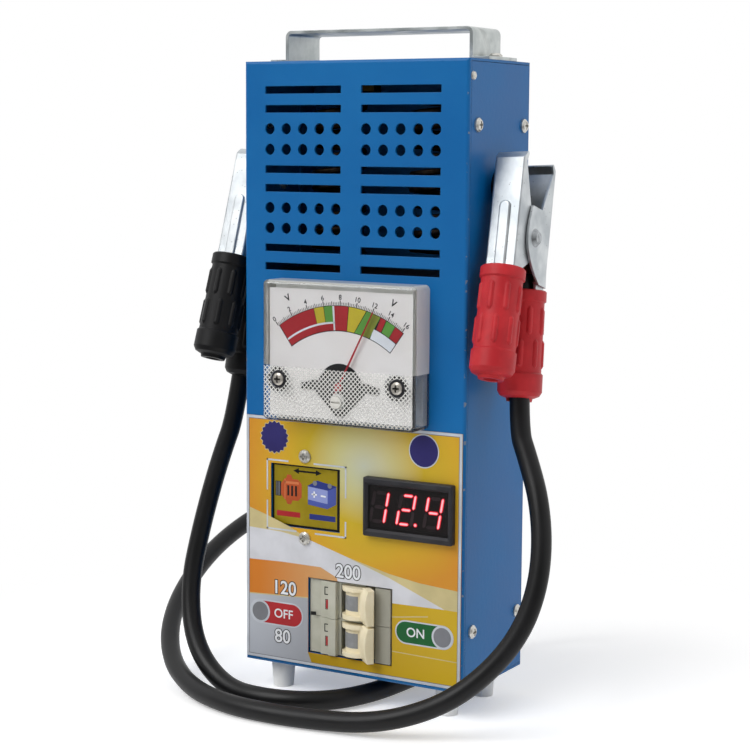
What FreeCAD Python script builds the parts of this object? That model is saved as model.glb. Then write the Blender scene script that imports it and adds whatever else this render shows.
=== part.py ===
import FreeCAD, Part
import math
import os
import re

import Sketcher
from FreeCAD import Placement, Rotation, Vector

# Battery tester: sheet-metal case with a moving-coil meter, a digital voltmeter, two breakers that switch
# load coils, and two spring clamps on leads. Millimetres, +Z up, the front faces -Y.
# The origin lies on the floor under the middle of the object.

SIZES = (
    # case: front, top and bottom in one folded sheet, two side panels and a back panel
    ("case_width", 120), ("case_depth", 61), ("case_height", 290), ("case_y", -2), ("sheet", 1.2),
    ("bend_radius", 1.5), ("seam_gap", 0.2), ("front_lip", 2.2), ("flange", 14), ("flange_gap", 1),
    # overshoot of cutting shapes and depth of short screw holes
    ("over", 1), ("hole_reach", 5),
    # feet
    ("foot_height", 14), ("foot_radius", 6), ("foot_taper", 1), ("foot_x", 46), ("foot_y", 18),
    ("foot_recess_radius", 4), ("foot_recess", 7),
    # pan-head screws of the case, the handle, the feet and the legend window
    ("screw_head", 3.2), ("screw_head_height", 1.9), ("screw_shank", 1.9), ("screw_length", 9),
    ("rail_screw_length", 6), ("drive_width", 0.9), ("drive_span", 3.4), ("drive_depth", 1.0),
    ("screw_fit", 0.15), ("side_screw_front", 8.7), ("side_screw_back", 5.7), ("side_screw_low", 28),
    ("side_screw_high", 260.5), ("back_screw_x", 50), ("back_screw_inset", 7),
    # dome rivets at the upper front corners of the side panels
    ("seam_rivet_radius", 2.05), ("seam_rivet_height", 1.3), ("seam_rivet_shank", 1.2),
    ("seam_rivet_length", 4), ("seam_rivet_front", 3.9), ("seam_rivet_drop", 7.8),
    # strap handle
    ("handle_inset", 9.5), ("handle_rise", 15.2), ("handle_thickness", 1.6), ("handle_width", 28),
    ("handle_foot", 8.6), ("handle_corner", 3.2), ("handle_screw_out", 4.6), ("handle_shift", 4.6),
    # printed label
    ("label_thickness", 0.4), ("label_half", 59), ("label_low", 0.6), ("label_gap", 0.7),
    # ventilation pattern of the front and slots of the back
    ("vent_column", 26.3), ("vent_shift", -1.1), ("vent_top", 272.2), ("vent_pitch", 18.5),
    ("slot_pitch", 8.8), ("slot_length", 41.7), ("slot_height", 3.5), ("hole_row_pitch", 9.6),
    ("hole_pitch", 9.15), ("hole_radius", 2.6), ("back_slot_length", 84), ("back_slot_height", 4),
    ("back_slot_pitch", 12), ("back_slot_low", 118),
    # moving-coil meter
    ("meter_width", 82.4), ("meter_height", 66.2), ("meter_proud", 14), ("meter_rise", 155.3),
    ("cover_wall", 1.8), ("cover_front", 1.6), ("cover_corner", 2.4), ("base_height", 4), ("base_gap", 0.2),
    ("can_radius", 29), ("can_wall", 2.5), ("can_depth", 22), ("can_gap", 0.5), ("dial_depth", 10),
    ("dial_thickness", 0.8), ("dial_margin", 2.4), ("dial_drop", 3.8), ("dial_hole", 9.7),
    ("pivot_drop", 15.2),
    ("movement_radius", 9.2), ("movement_front", 8.4), ("bore_depth", 5), ("neck_radius", 7),
    ("bridge_thickness", 0.5), ("bridge_half", 21), ("bridge_shoulder", 14), ("bridge_rise", 2.5),
    ("bridge_tip", 0.6), ("bridge_arm", 2.8), ("bridge_foot", 2), ("bridge_drop", 14),
    ("needle_length", 40),
    ("needle_tail", 7), ("needle_angle", 27.1), ("needle_root", 1.0), ("needle_point", 0.5),
    ("needle_thickness", 0.4), ("needle_depth", 11.4), ("hub_radius", 2), ("hub_proud", 0.2),
    ("hub_back", 0.6), ("shaft_radius", 0.8), ("bore_spare", 1), ("running_fit", 0.06),
    ("dial_screw_x", 32), ("dial_screw_drop", 13.4), ("dial_screw_head", 2.9),
    ("dial_screw_head_height", 1.5), ("dial_screw_shank", 1.2), ("dial_screw_length", 7.5),
    ("collar_radius", 4.2), ("collar_height", 3.4), ("post_radius", 3), ("cover_hole", 4.5),
    ("adjuster_drop", 22.1), ("adjuster_radius", 2.9), ("adjuster_proud", 0.5), ("adjuster_flange", 0.9),
    ("adjuster_slot", 0.8), ("adjuster_slot_length", 4.64), ("adjuster_slot_depth", 0.7),
    ("adjuster_rear", 0.5), ("adjuster_clear", 0.1), ("terminal_x", 15), ("terminal_radius", 2.5),
    ("terminal_length", 11), ("nut_radius", 5), ("nut_height", 3.5),
    # digital voltmeter
    ("volt_x", 32), ("volt_rise", 83.8), ("bezel_width", 47.2), ("bezel_height", 28), ("bezel_proud", 3.5),
    ("bezel_corner", 0.9), ("bezel_bevel", 1.1), ("pane_side", 2.4), ("pane_edge", 3.5),
    ("pane_thickness", 1.5),
    ("pane_recess", 1.2), ("rim_side", 1.3), ("rim_edge", 1.7), ("volt_body_depth", 18),
    ("volt_wall", 1.2), ("volt_gap", 0.3), ("display_side", 0.3), ("display_edge", 1),
    ("display_depth", 8), ("display_gap", 0.4), ("board_thickness", 1.6), ("reading_x", -1.45),
    ("digit_height", 15.3), ("digit_width", 9.2), ("digit_pitch", 14.35), ("digit_lean", 10.2),
    ("segment_width", 1.7), ("segment_gap", 0.25), ("segment_thickness", 0.2), ("level_inset", 1.05),
    ("upright_over", 0.7), ("dot_x", 6.1), ("dot_rise", 0.2), ("dot_radius", 0.95),
    # lit legend window
    ("legend_x", -25.5), ("legend_rise", 83.9), ("legend_width", 39), ("legend_height", 30.4),
    ("legend_margin", 2), ("legend_plate", 2), ("light_box_depth", 14), ("light_box_wall", 1.5),
    ("light_box_rim", 2), ("legend_screw_rise", 19.9), ("tab_half", 6), ("tab_reach", 25),
    # breakers and their rail
    ("breaker_rise", 26.8), ("module", 18), ("module_gap", 0.2), ("breaker_half", 41), ("shoulder", 6),
    ("nose_left", -23.2), ("nose_step", -16.2), ("nose_ridge", -11.6), ("nose_groove", -7.4),
    ("nose_pocket", 7.6), ("nose_block", 14.2), ("nose_right", 22.4), ("recess_depth", 1.0),
    ("step_height", 0.7), ("ridge_height", 1.7), ("block_height", 1.2), ("pocket_depth", 4),
    ("nose_gap", 0.5), ("toggle_x", 2), ("toggle_depth", 5), ("drum_radius", 8.3), ("drum_waist", 6.7),
    ("drum_rim", 2.2), ("drum_gap", 0.4), ("drum_height", 15.8), ("lever_reach", 17), ("lever_root", 4.2),
    ("lever_height", 15), ("lever_angle", 48), ("paddle_start", 9.3), ("paddle_half", 8.6),
    ("paddle_right", 2), ("paddle_left", 1.3), ("paddle_crown", 1.7), ("paddle_edge", 0.6),
    ("pin_radius", 1.5), ("pin_height", 17),
    ("rail_half", 17.5), ("rail_foot", 13.5), ("rail_depth", 7.5), ("rail_thickness", 1.2),
    ("rail_over", 3),
    # load coils, boards and busbars
    ("coil_x", 27), ("coil_y", 2), ("coil_radius", 12), ("coil_wire", 1.4), ("coil_pitch", 7),
    ("coil_turns", 11), ("coil_low", 198.5), ("coil_end", 6), ("coil_block", 7), ("shelf_rise", 187.5),
    ("shelf_thickness", 3), ("ceiling_gap", 5.2), ("board_inset", 8), ("bar_x", 34), ("bar_width", 8),
    ("bar_thickness", 2), ("bar_y", 15),
    # clamps: place, lean and splay, then sizes in the clamp's own frame
    ("clamp_x", 72.7), ("clamp_y", -5.5), ("clamp_rise", 209.5), ("clamp_lean", 15.5), ("clamp_splay", 2.5),
    ("jaw_half", 15.2), ("jaw_tip", 37.4), ("lip", 3.4), ("flange_edge", 2.6), ("mouth_apex", 14),
    ("mouth_half", 4.5), ("boss_front", 6.4), ("boss_rear", 7.3), ("boss_fall", 2.4), ("jaw_bend", 12),
    ("front_arch", 15.5), ("channel_depth", 8), ("handle_length", 50), ("front_flare", 2),
    ("rear_flare", 6),
    ("front_width", 15), ("jaw_gap", 0.3), ("jog_low", 20), ("jog_high", 15), ("jaw_corner", 1.0),
    ("rib_half", 2.7), ("rib_height", 1.2), ("rib_top", 14), ("rib_reach", 3.7), ("rib_edge", 0.8),
    ("rivet_radius", 2.5),
    ("rivet_head", 4.3), ("rivet_crown", 2.7), ("rivet_head_height", 1.8), ("spring_radius", 4.4),
    ("spring_wire", 0.7), ("spring_pitch", 2.0), ("spring_turns", 5), ("spring_leg", 13),
    ("spring_start", -30), ("sleeve_offset", 4.2), ("sleeve_length", 49.5), ("front_sleeve_start", 4.2),
    ("rear_sleeve_start", 9.3), ("sleeve_radius", 9.5), ("collar_top", 10.3), ("collar_bottom", 10.3),
    ("collar_length", 5), ("sleeve_end", 11), ("collar_edge", 0.6), ("cup_step", 0.8), ("cup_round", 3),
    ("cup_edge", 1), ("cup_edge_in", 1.2), ("cup_floor_in", 3.5), ("spigot_radius", 6.2),
    ("spigot_length", 1.6), ("spigot_taper", 0.4), ("spigot_hole", 3.4), ("spigot_hole_depth", 2),
    ("slot_spare", 2), ("sleeve_fit", 0.1), ("bead_radius", 1.5), ("bead_sink", 0.7), ("bead_count", 8),
    ("bead_length", 13.5), ("bead_first", 7.5), ("bead_second", 22.5), ("lead_radius", 4.7),
    ("lead_fit", 0.1), ("lead_start", 2), ("crimp_length", 8), ("crimp_half", 4),
    # parking studs for the clamps
    ("stud_reach", 24), ("stud_radius", 8), ("stud_proud", 7), ("stud_base", 1.5), ("stud_flare", 0.8),
    ("stud_edge", 1), ("stud_cap", 1.5), ("stud_screw_gap", 0.5),
    # strain reliefs at the back
    ("relief_x", 12), ("relief_rise", 95.5), ("relief_length", 20), ("relief_base", 8.5),
    ("relief_flange", 10.5), ("relief_flange_height", 3), ("relief_tip", 6.2), ("relief_neck", 6.5),
    ("relief_inside", 6), ("relief_barb", 1.5),
)

# Places worked out from the sizes above.
PLACES = {
    "half_case": "(case_width / 2)", "front": "(case_y - case_depth / 2)",
    "back": "(case_y + case_depth / 2)",
    "bottom": "(foot_height)", "top": "(foot_height + case_height)", "inside_front": "(front + sheet)",
    "inside_back": "(back - sheet)", "label_face": "(front - label_thickness)",
    "half_meter": "(meter_width / 2)", "meter_z": "(bottom + meter_rise)",
    "pivot_z": "(meter_z - pivot_drop)", "dial_screw_z": "(meter_z - dial_screw_drop)",
    "adjuster_z": "(meter_z - adjuster_drop)", "label_top": "(meter_z - meter_height / 2 - label_gap)",
    "dial_face": "(front - dial_depth)", "cover_inside": "(front - meter_proud + cover_front)",
    "volt_z": "(bottom + volt_rise)", "bezel_face": "(label_face - bezel_proud)",
    "pane_width": "(bezel_width - 2 * pane_side)", "pane_height": "(bezel_height - 2 * pane_edge)",
    "display_width": "(pane_width - 2 * display_side)",
    "display_height": "(pane_height - 2 * display_edge)",
    "volt_body_width": "(bezel_width - 2 * rim_side)", "volt_body_height": "(bezel_height - 2 * rim_edge)",
    "pane_face": "(bezel_face + pane_recess)", "display_face": "(pane_face + pane_thickness + display_gap)",
    "board_face": "(display_face + display_depth)",
    "legend_z": "(bottom + legend_rise)", "legend_back": "(inside_front + legend_plate)",
    "breaker_z": "(bottom + breaker_rise)", "rail_face": "(inside_back - rail_depth)",
    "shelf_z": "(bottom + shelf_rise)", "shelf_top": "(shelf_z + shelf_thickness)",
    "ceiling_z": "(top - sheet - shelf_thickness)", "coil_z": "(bottom + coil_low)",
    "coil_top": "(coil_z + coil_turns * coil_pitch)", "coil_line": "(case_y + coil_y)",
    "half_front": "(front_width / 2)", "half_rear": "(front_width / 2 + jaw_gap + sheet)",
    "inside_rear": "(front_width / 2 + jaw_gap)", "handle_low": "(jaw_bend + handle_length)",
    "relief_z": "(bottom + relief_rise)", "handle_half": "(half_case - handle_inset)",
    "ceiling_half": "(handle_half + handle_screw_out - screw_shank - ceiling_gap)",
}

doc = FreeCAD.newDocument("battery_tester")
sheet = doc.addObject("Spreadsheet::Sheet", "dims")
for row, (alias, number) in enumerate(SIZES, 1):
    sheet.set("A%d" % row, alias)
    sheet.set("B%d" % row, str(number))
    sheet.setAlias("B%d" % row, alias)
doc.recompute()

ALIASES = {alias for alias, number in SIZES}
WORD = re.compile(r"[A-Za-z_]\w*")
TURNS = {"x": Rotation(Vector(0, 1, 0), 90), "y": Rotation(Vector(1, 0, 0), -90), "z": Rotation()}
PAD_AXES = {"XY_Plane": ("z", 0), "XZ_Plane": ("y", 1), "YZ_Plane": ("x", 0)}
NODES = []


def bound(text):
    """Write a size formula with the places spelled out and every size read from the sheet."""
    def word(match):
        name = match.group()
        if name in PLACES:
            return bound(PLACES[name])
        return "dims." + name if name in ALIASES else name
    return WORD.sub(word, str(text))


def at(text):
    """The present value of a size formula."""
    return float(sheet.evalExpression(bound(text)))


def stand(solid, **base):
    """Bind the position of a solid."""
    for axis, text in base.items():
        solid.setExpression("Placement.Base." + axis, bound(text))
    return solid


def block(name, x, y, z):
    """A box between two positions on each axis."""
    solid = doc.addObject("Part::Box", name)
    for size, (low, high) in (("Length", x), ("Width", y), ("Height", z)):
        solid.setExpression(size, bound("(%s) - (%s)" % (high, low)))
    return stand(solid, x=x[0], y=y[0], z=z[0])


def rod(name, axis, radius, low, high, centre=("0", "0"), end_radius=None):
    """A round bar, or a taper, along one axis; the centre is given on the other two axes."""
    solid = doc.addObject("Part::Cone" if end_radius else "Part::Cylinder", name)
    solid.Placement = Placement(Vector(), TURNS[axis])
    solid.setExpression("Radius1" if end_radius else "Radius", bound(radius))
    if end_radius:
        solid.setExpression("Radius2", bound(end_radius))
    solid.setExpression("Height", bound("(%s) - (%s)" % (high, low)))
    others = [letter for letter in "xyz" if letter != axis]
    return stand(solid, **{axis: low, others[0]: centre[0], others[1]: centre[1]})


def gathered(name, solids):
    """Several solids kept side by side as one object."""
    group = doc.addObject("Part::Compound", name)
    group.Links = list(solids)
    return group


def joined(name, *solids):
    """Several solids made one."""
    whole = doc.addObject("Part::MultiFuse", name)
    whole.Shapes = list(solids)
    whole.Refine = True
    return whole


def without(name, base, *tools):
    """A solid with the tools taken out of it."""
    rest = doc.addObject("Part::Cut", name)
    rest.Base = base
    rest.Tool = tools[0] if len(tools) == 1 else joined(name + "_openings", *tools)
    return rest


def outline(body, plane, points):
    """A closed outline of straight runs on one of the body's own planes, every corner bound to the sheet."""
    sketch = body.newObject("Sketcher::SketchObject", body.Name + "_outline")
    ground = next(item for item in body.Origin.OriginFeatures if item.Role == plane)
    sketch.AttachmentSupport = [(ground, "")]
    sketch.MapMode = "FlatFace"
    corners = [Vector(at(a), at(b), 0) for a, b in points]
    count = len(corners)
    for i in range(count):
        sketch.addGeometry(Part.LineSegment(corners[i], corners[(i + 1) % count]))
    for i in range(count):
        sketch.addConstraint(Sketcher.Constraint("Coincident", i, 2, (i + 1) % count, 1))
    for i, pair in enumerate(points):
        for kind, text in zip(("DistanceX", "DistanceY"), pair):
            index = sketch.addConstraint(Sketcher.Constraint(kind, -1, 1, i, 1, at(text)))
            sketch.setExpression("Constraints[%d]" % index, bound(text))
    return sketch


def profile(name, plane, points, low, high):
    """A body with one outline, padded between two positions along the third axis."""
    body = doc.addObject("PartDesign::Body", name)
    pad = body.newObject("PartDesign::Pad", name + "_pad")
    pad.Profile = outline(body, plane, points)
    pad.setExpression("Length", bound("(%s) - (%s)" % (high, low)))
    body.Tip = pad
    axis, end = PAD_AXES[plane]
    return stand(body, **{axis: (low, high)[end]})


def turned(name, points):
    """A body of revolution about Z from radius and height pairs."""
    body = doc.addObject("PartDesign::Body", name)
    turn = body.newObject("PartDesign::Revolution", name + "_turn")
    turn.Profile = outline(body, "XZ_Plane", points)
    turn.ReferenceAxis = (next(item for item in body.Origin.OriginFeatures if item.Role == "Z_Axis"), [""])
    turn.Angle = 360
    body.Tip = turn
    return body


def softened(name, base, radius, wanted, kind="Fillet"):
    """Round or bevel those edges of a solid whose middle point and direction are wanted."""
    doc.recompute()
    size = at(radius)
    picked = []
    for index, edge in enumerate(base.Shape.Edges, 1):
        if edge.Degenerated:
            continue
        middle = edge.valueAt((edge.FirstParameter + edge.LastParameter) / 2)
        along = edge.tangentAt((edge.FirstParameter + edge.LastParameter) / 2)
        if wanted(middle, along):
            picked.append((index, size, size))
    rounded = doc.addObject("Part::" + kind, name)
    rounded.Base = base
    rounded.Edges = picked
    return rounded


def copy_of(name, form, place):
    """The same form set down at another place."""
    item = doc.addObject("Part::Compound", name)
    item.Links = [form]
    item.Placement = place
    return item


def facing(direction, x, y, z):
    """A place whose own Z axis looks along a direction."""
    return Placement(Vector(at(x), at(y), at(z)), Rotation(Vector(0, 0, 1), Vector(*direction)))


def group_of(name, form, places):
    """One form at several places, kept as one node."""
    return node(gathered(name, [copy_of("%s_%d" % (name, i), form, p) for i, p in enumerate(places, 1)]))


def free_form(name, shape):
    """A wound or swept shape."""
    item = doc.addObject("Part::Feature", name)
    item.Shape = shape
    return item


def node(item):
    """Mark a finished piece."""
    NODES.append(item)
    return item


def near(a, text):
    """True where a coordinate lies on a position."""
    return abs(a - at(text)) < 0.01


def pan_screw(name, head, height, shank, length):
    """A cross-recessed pan-head screw, head up, its seat at zero."""
    blank = turned(name + "_blank", [
        ("0", "-(%s)" % length), (shank, "-(%s)" % length), (shank, "0"), (head, "0"),
        (head, "0.4 * %s" % height),
        ("0.72 * %s" % head, "0.85 * %s" % height), ("0.4 * %s" % head, height), ("0", height)])
    floor, above = "%s - drive_depth" % height, "%s + over" % height
    thin, wide = "drive_width / 2", "%s * drive_span / screw_head / 2" % head
    bars = [block("%s_drive_%d" % (name, i), ("-(%s)" % a, a), ("-(%s)" % b, b), (floor, above))
            for i, (a, b) in enumerate(((thin, wide), (wide, thin)), 1)]
    return without(name, blank, *bars)


case_screw = pan_screw("case_screw", "screw_head", "screw_head_height", "screw_shank", "screw_length")
rail_screw = pan_screw("rail_screw", "screw_head", "screw_head_height", "screw_shank", "rail_screw_length")
small_screw = pan_screw("small_screw", "dial_screw_head", "dial_screw_head_height", "dial_screw_shank",
                        "dial_screw_length")

# Folded front, top and bottom with flanges that the other panels screw to.
section = [("front", "bottom"), ("inside_back", "bottom"), ("inside_back", "bottom + flange"),
           ("inside_back - sheet", "bottom + flange"), ("inside_back - sheet", "bottom + sheet"),
           ("inside_front", "bottom + sheet"), ("inside_front", "top - sheet"),
           ("inside_back - sheet", "top - sheet"),
           ("inside_back - sheet", "top - flange"), ("inside_back", "top - flange"), ("inside_back", "top"),
           ("front", "top")]
folded = profile("folded_sheet", "YZ_Plane", section, "-half_case", "half_case")
inner = ("bottom + sheet", "top - sheet")
clear_sides = [block("side_room_%d" % i, ends, ("front + front_lip", "back"), inner)
               for i, ends in enumerate(
    (("-half_case - over", "-half_case + 2 * sheet + seam_gap"),
     ("half_case - 2 * sheet - seam_gap", "half_case + over")), 1)]
chassis_sheet = without("chassis_sheet", folded, *clear_sides)
tabs = []
for i, (skin, edge) in enumerate((("-half_case", "-half_case + sheet"), ("half_case - sheet", "half_case")),
                                 1):
    tabs.append(block("front_lip_%d" % i, (skin, edge), ("front", "front + front_lip"), ("bottom", "top")))
for i, ends in enumerate((("-half_case + sheet", "-half_case + 2 * sheet"),
                          ("half_case - 2 * sheet", "half_case - sheet")), 1):
    tabs.append(block("front_flange_%d" % i, ends, ("front", "front + flange"), inner))
chassis_blank = softened("chassis_blank", joined("chassis_tabs", chassis_sheet, *tabs), "bend_radius",
                         lambda m, t: near(m.y, "front") and (near(abs(m.x), "half_case") or near(m.z,
                             "top")
                                                              or near(m.z, "bottom")))

deep = ("front - over", "inside_front + over")
volt_cut = (("volt_x - volt_body_width / 2 - volt_gap", "volt_x + volt_body_width / 2 + volt_gap"), deep,
            ("volt_z - volt_body_height / 2 - volt_gap", "volt_z + volt_body_height / 2 + volt_gap"))
legend_cut = (("legend_x - legend_width / 2", "legend_x + legend_width / 2"), deep,
              ("legend_z - legend_height / 2", "legend_z + legend_height / 2"))
breaker_cut = (("nose_left - nose_gap", "nose_right + nose_gap"), deep,
               ("breaker_z - module - nose_gap", "breaker_z + module + nose_gap"))
legend_screw_spots = [("legend_x", "legend_z + legend_screw_rise"),
                      ("legend_x", "legend_z - legend_screw_rise")]


def front_windows(name):
    """The openings that the front sheet and the label share."""
    found = [block("%s_%s" % (name, word), *cut) for word, cut in
             (("volt", volt_cut), ("legend", legend_cut), ("breaker", breaker_cut))]
    return found + [rod("%s_legend_screw_%d" % (name, i), "y", "screw_shank + screw_fit", *deep, spot)
                    for i, spot in enumerate(legend_screw_spots, 1)]


openings = front_windows("front_sheet")
openings.append(rod("meter_opening", "y", "can_radius + can_gap", *deep, ("0", "meter_z")))
for group in range(5):
    level = "bottom + vent_top - %d * vent_pitch" % group
    for column in (-1, 1):
        middle = "vent_shift + %d * vent_column" % column
        for row in (-1, 1):
            mark = "vent_%d_%d_%d" % (group, column + 1, row + 1)
            if group % 2 == 0:
                height = "%s + %d * slot_pitch / 2" % (level, row)
                openings.append(block(mark,
                                      ("%s - slot_length / 2" % middle, "%s + slot_length / 2" % middle),
                                      deep,
                                      ("%s - slot_height / 2" % height, "%s + slot_height / 2" % height)))
                continue
            for index, place in enumerate(range(-2, 3)):
                spot = ("%s + %d * hole_pitch" % (middle, place),
                        "%s + %d * hole_row_pitch / 2" % (level, row))
                openings.append(rod("%s_%d" % (mark, index), "y", "hole_radius", *deep, spot))
handle_line = "case_y + handle_shift"
handle_spots = [("%d * (handle_half + handle_screw_out)" % side, handle_line) for side in (-1, 1)]
foot_spots = [("%d * foot_x" % a, "case_y + %d * foot_y" % b) for a in (-1, 1) for b in (-1, 1)]
for i, spot in enumerate(handle_spots, 1):
    openings.append(rod("handle_hole_%d" % i, "z", "screw_shank + screw_fit", "top - hole_reach",
                        "top + over", spot))
for i, spot in enumerate(foot_spots, 1):
    openings.append(rod("foot_hole_%d" % i, "z", "screw_shank + screw_fit", "bottom - over",
                        "bottom + hole_reach", spot))
side_levels = ("bottom + side_screw_low", "bottom + side_screw_high")
for i, level in enumerate(side_levels, 1):
    openings.append(rod("flange_hole_%d" % i, "x", "screw_shank + screw_fit", "-half_case - over",
                        "half_case + over",
                        ("front + side_screw_front", level)))
rivet_spot = ("front + seam_rivet_front", "top - seam_rivet_drop")
openings.append(rod("flange_rivet_hole", "x", "seam_rivet_shank + screw_fit", "-half_case - over",
                    "half_case + over", rivet_spot))
back_screw_levels = ("bottom + back_screw_inset", "top - back_screw_inset")
back_spots = [("%d * back_screw_x" % a, level) for a in (-1, 1) for level in back_screw_levels]
for i, spot in enumerate(back_spots, 1):
    openings.append(rod("rear_hole_%d" % i, "y", "screw_shank + screw_fit", "inside_back - hole_reach",
                        "back + over", spot))
front_chassis = node(doc.addObject("Part::Cut", "front_chassis"))
front_chassis.Base = chassis_blank
front_chassis.Tool = gathered("front_openings", openings)

# Back panel with side flanges, cooling slots and the holes of the two leads.
back_blank = [block("back_skin", ("-half_case", "half_case"), ("inside_back", "back"), ("bottom", "top"))]
for i, ends in enumerate((("-half_case + sheet", "-half_case + 2 * sheet"),
                          ("half_case - 2 * sheet", "half_case - sheet")), 1):
    back_blank.append(block("back_flange_%d" % i, ends, ("inside_back - flange", "back"),
                            ("bottom + flange + flange_gap", "top - flange - flange_gap")))
rear = ("inside_back - over", "back + over")
back_tools = []
for i in range(5):
    low = "bottom + back_slot_low + %d * back_slot_pitch" % i
    back_tools.append(block("back_slot_%d" % i, ("-back_slot_length / 2", "back_slot_length / 2"), rear,
                            (low, "%s + back_slot_height" % low)))
relief_spots = [("%d * relief_x" % a, "relief_z") for a in (-1, 1)]
for i, spot in enumerate(relief_spots, 1):
    back_tools.append(rod("relief_hole_%d" % i, "y", "relief_neck", *rear, spot))
rail_spots = [("0", "breaker_z + %d * module / 2" % a) for a in (-1, 1)]
for i, spot in enumerate(back_spots + rail_spots, 1):
    back_tools.append(rod("back_hole_%d" % i, "y", "screw_shank + screw_fit", *rear, spot))
for i, level in enumerate(side_levels, 1):
    back_tools.append(rod("back_flange_hole_%d" % i, "x", "screw_shank + screw_fit", "-half_case - over",
                          "half_case + over", ("back - side_screw_back", level)))
back_panel = node(without("back_panel", joined("back_blank", *back_blank),
                          gathered("back_openings", back_tools)))

# Clamp frame: x along the pivot, y from the front half to the rear half, z toward the jaw tips.


def clamp_place(side):
    """The place of a parked clamp on the left (-1) or right (1) side panel."""
    turn = Rotation(Vector(0, 1, 0), -side * at("clamp_splay")) * Rotation(Vector(1, 0, 0),
        -at("clamp_lean"))
    return Placement(Vector(side * at("clamp_x"), at("case_y + clamp_y"), at("bottom + clamp_rise")), turn)


# Side panels, each with four screw holes, a rivet hole and the hole of its parking stud.
for side, word in ((-1, "left"), (1, "right")):
    ends = ("-half_case", "-half_case + sheet") if side < 0 else ("half_case - sheet", "half_case")
    skin = block(word + "_skin", ends, ("front + front_lip + seam_gap", "inside_back"),
                 ("bottom + sheet + seam_gap", "top - sheet - seam_gap"))
    stud = clamp_place(side).multVec(Vector(0, 0, at("stud_reach")))
    through = ("%s - over" % ends[0], "%s + over" % ends[1])
    holes = [rod("%s_stud_hole" % word, "x", "screw_shank + screw_fit", *through,
                 (str(stud.y), str(stud.z)))]
    for i, level in enumerate(side_levels, 1):
        for depth in ("front + side_screw_front", "back - side_screw_back"):
            holes.append(rod("%s_hole_%d" % (word, len(holes)), "x", "screw_shank + screw_fit", *through,
                             (depth, level)))
    holes.append(rod("%s_rivet_hole" % word, "x", "seam_rivet_shank + screw_fit", *through, rivet_spot))
    node(without(word + "_side_panel", skin, gathered(word + "_holes", holes)))

group_of("side_panel_screws", case_screw, [
    facing((a, 0, 0), "%d * half_case" % a, depth, level) for a in (-1, 1) for level in side_levels
    for depth in ("front + side_screw_front", "back - side_screw_back")])
seam_rivet = turned("seam_rivet", [
    ("0", "-seam_rivet_length"), ("seam_rivet_shank", "-seam_rivet_length"), ("seam_rivet_shank", "0"),
    ("seam_rivet_radius", "0"), ("0.85 * seam_rivet_radius", "0.6 * seam_rivet_height"),
    ("0.5 * seam_rivet_radius", "0.92 * seam_rivet_height"), ("0", "seam_rivet_height")])
group_of("seam_rivets", seam_rivet, [facing((a, 0, 0), "%d * half_case" % a, *rivet_spot) for a in (-1, 1)])
group_of("back_panel_screws", case_screw, [facing((0, 1, 0), x, "back", z) for x, z in back_spots])
group_of("rail_screws", rail_screw, [facing((0, 1, 0), x, "back", z) for x, z in rail_spots])

# Strap handle on the top.
strap_top = "top + handle_rise"
strap = [("-handle_half - handle_foot", "top"), ("-handle_half + handle_thickness", "top"),
         ("-handle_half + handle_thickness", strap_top + " - handle_thickness"),
         ("handle_half - handle_thickness", strap_top + " - handle_thickness"),
         ("handle_half - handle_thickness", "top"), ("handle_half + handle_foot", "top"),
         ("handle_half + handle_foot", "top + handle_thickness"), ("handle_half", "top + handle_thickness"),
         ("handle_half", strap_top), ("-handle_half", strap_top),
         ("-handle_half", "top + handle_thickness"),
         ("-handle_half - handle_foot", "top + handle_thickness")]
strap_body = profile("strap_body", "XZ_Plane", strap, handle_line + " - handle_width / 2",
                     handle_line + " + handle_width / 2")
strap_outer = softened("strap_outer", strap_body, "handle_corner",
                       lambda m, t: abs(t.y) > 0.9 and near(m.z, strap_top))
strap_inner = softened("strap_inner", strap_outer, "handle_corner - handle_thickness",
                       lambda m, t: abs(t.y) > 0.9 and near(m.z, strap_top + " - handle_thickness"))
node(without("carry_handle", strap_inner, *[
    rod("strap_hole_%d" % i, "z", "screw_shank + screw_fit", "top - over", "top + handle_thickness + over",
        spot)
    for i, spot in enumerate(handle_spots, 1)]))
group_of("handle_screws", case_screw, [facing((0, 0, 1), x, y, "top + handle_thickness")
                                       for x, y in handle_spots])

# Rubber feet and the screws that hold them from below.
foot_form = turned("foot_form", [
    ("foot_recess_radius", "0"), ("foot_radius - foot_taper", "0"), ("foot_radius", "foot_height"),
    ("screw_shank", "foot_height"), ("screw_shank", "foot_recess"), ("foot_recess_radius", "foot_recess")])
group_of("rubber_feet", foot_form, [facing((0, 0, 1), x, y, "0") for x, y in foot_spots])
group_of("foot_screws", case_screw, [facing((0, 0, -1), x, y, "foot_recess") for x, y in foot_spots])

# Printed label on the lower front.
label_blank = block("label_blank", ("-label_half", "label_half"), ("label_face", "front"),
                    ("bottom + bend_radius + label_low", "label_top"))
node(without("front_label", label_blank, gathered("label_openings", front_windows("label"))))

# Meter: cup-shaped housing behind a square base, dial on two posts, clear cover over all of it.
base_half, base_rise = "half_meter - cover_wall - base_gap", "meter_height / 2 - cover_wall - base_gap"
dial_spots = [("%d * dial_screw_x" % a, "dial_screw_z") for a in (-1, 1)]
base = block("meter_base", ("-(%s)" % base_half, base_half), ("front - base_height", "front"),
             ("meter_z - (%s)" % base_rise, "meter_z + (%s)" % base_rise))
can = rod("meter_can", "y", "can_radius", "front", "front + can_depth", ("0", "meter_z"))
posts = [rod("dial_post_%d" % i, "y", "post_radius", "dial_face + dial_thickness", "front", spot)
         for i, spot in enumerate(dial_spots, 1)]
can_room = rod("can_room", "y", "can_radius - can_wall", "front - base_height - over",
               "front + can_depth - can_wall",
               ("0", "meter_z"))
post_holes = [rod("post_hole_%d" % i, "y", "dial_screw_shank", "dial_face", "dial_face + dial_screw_length",
                  spot)
              for i, spot in enumerate(dial_spots, 1)]
node(without("meter_housing", joined("housing_blank", base, can, *posts), can_room, *post_holes))

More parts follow.
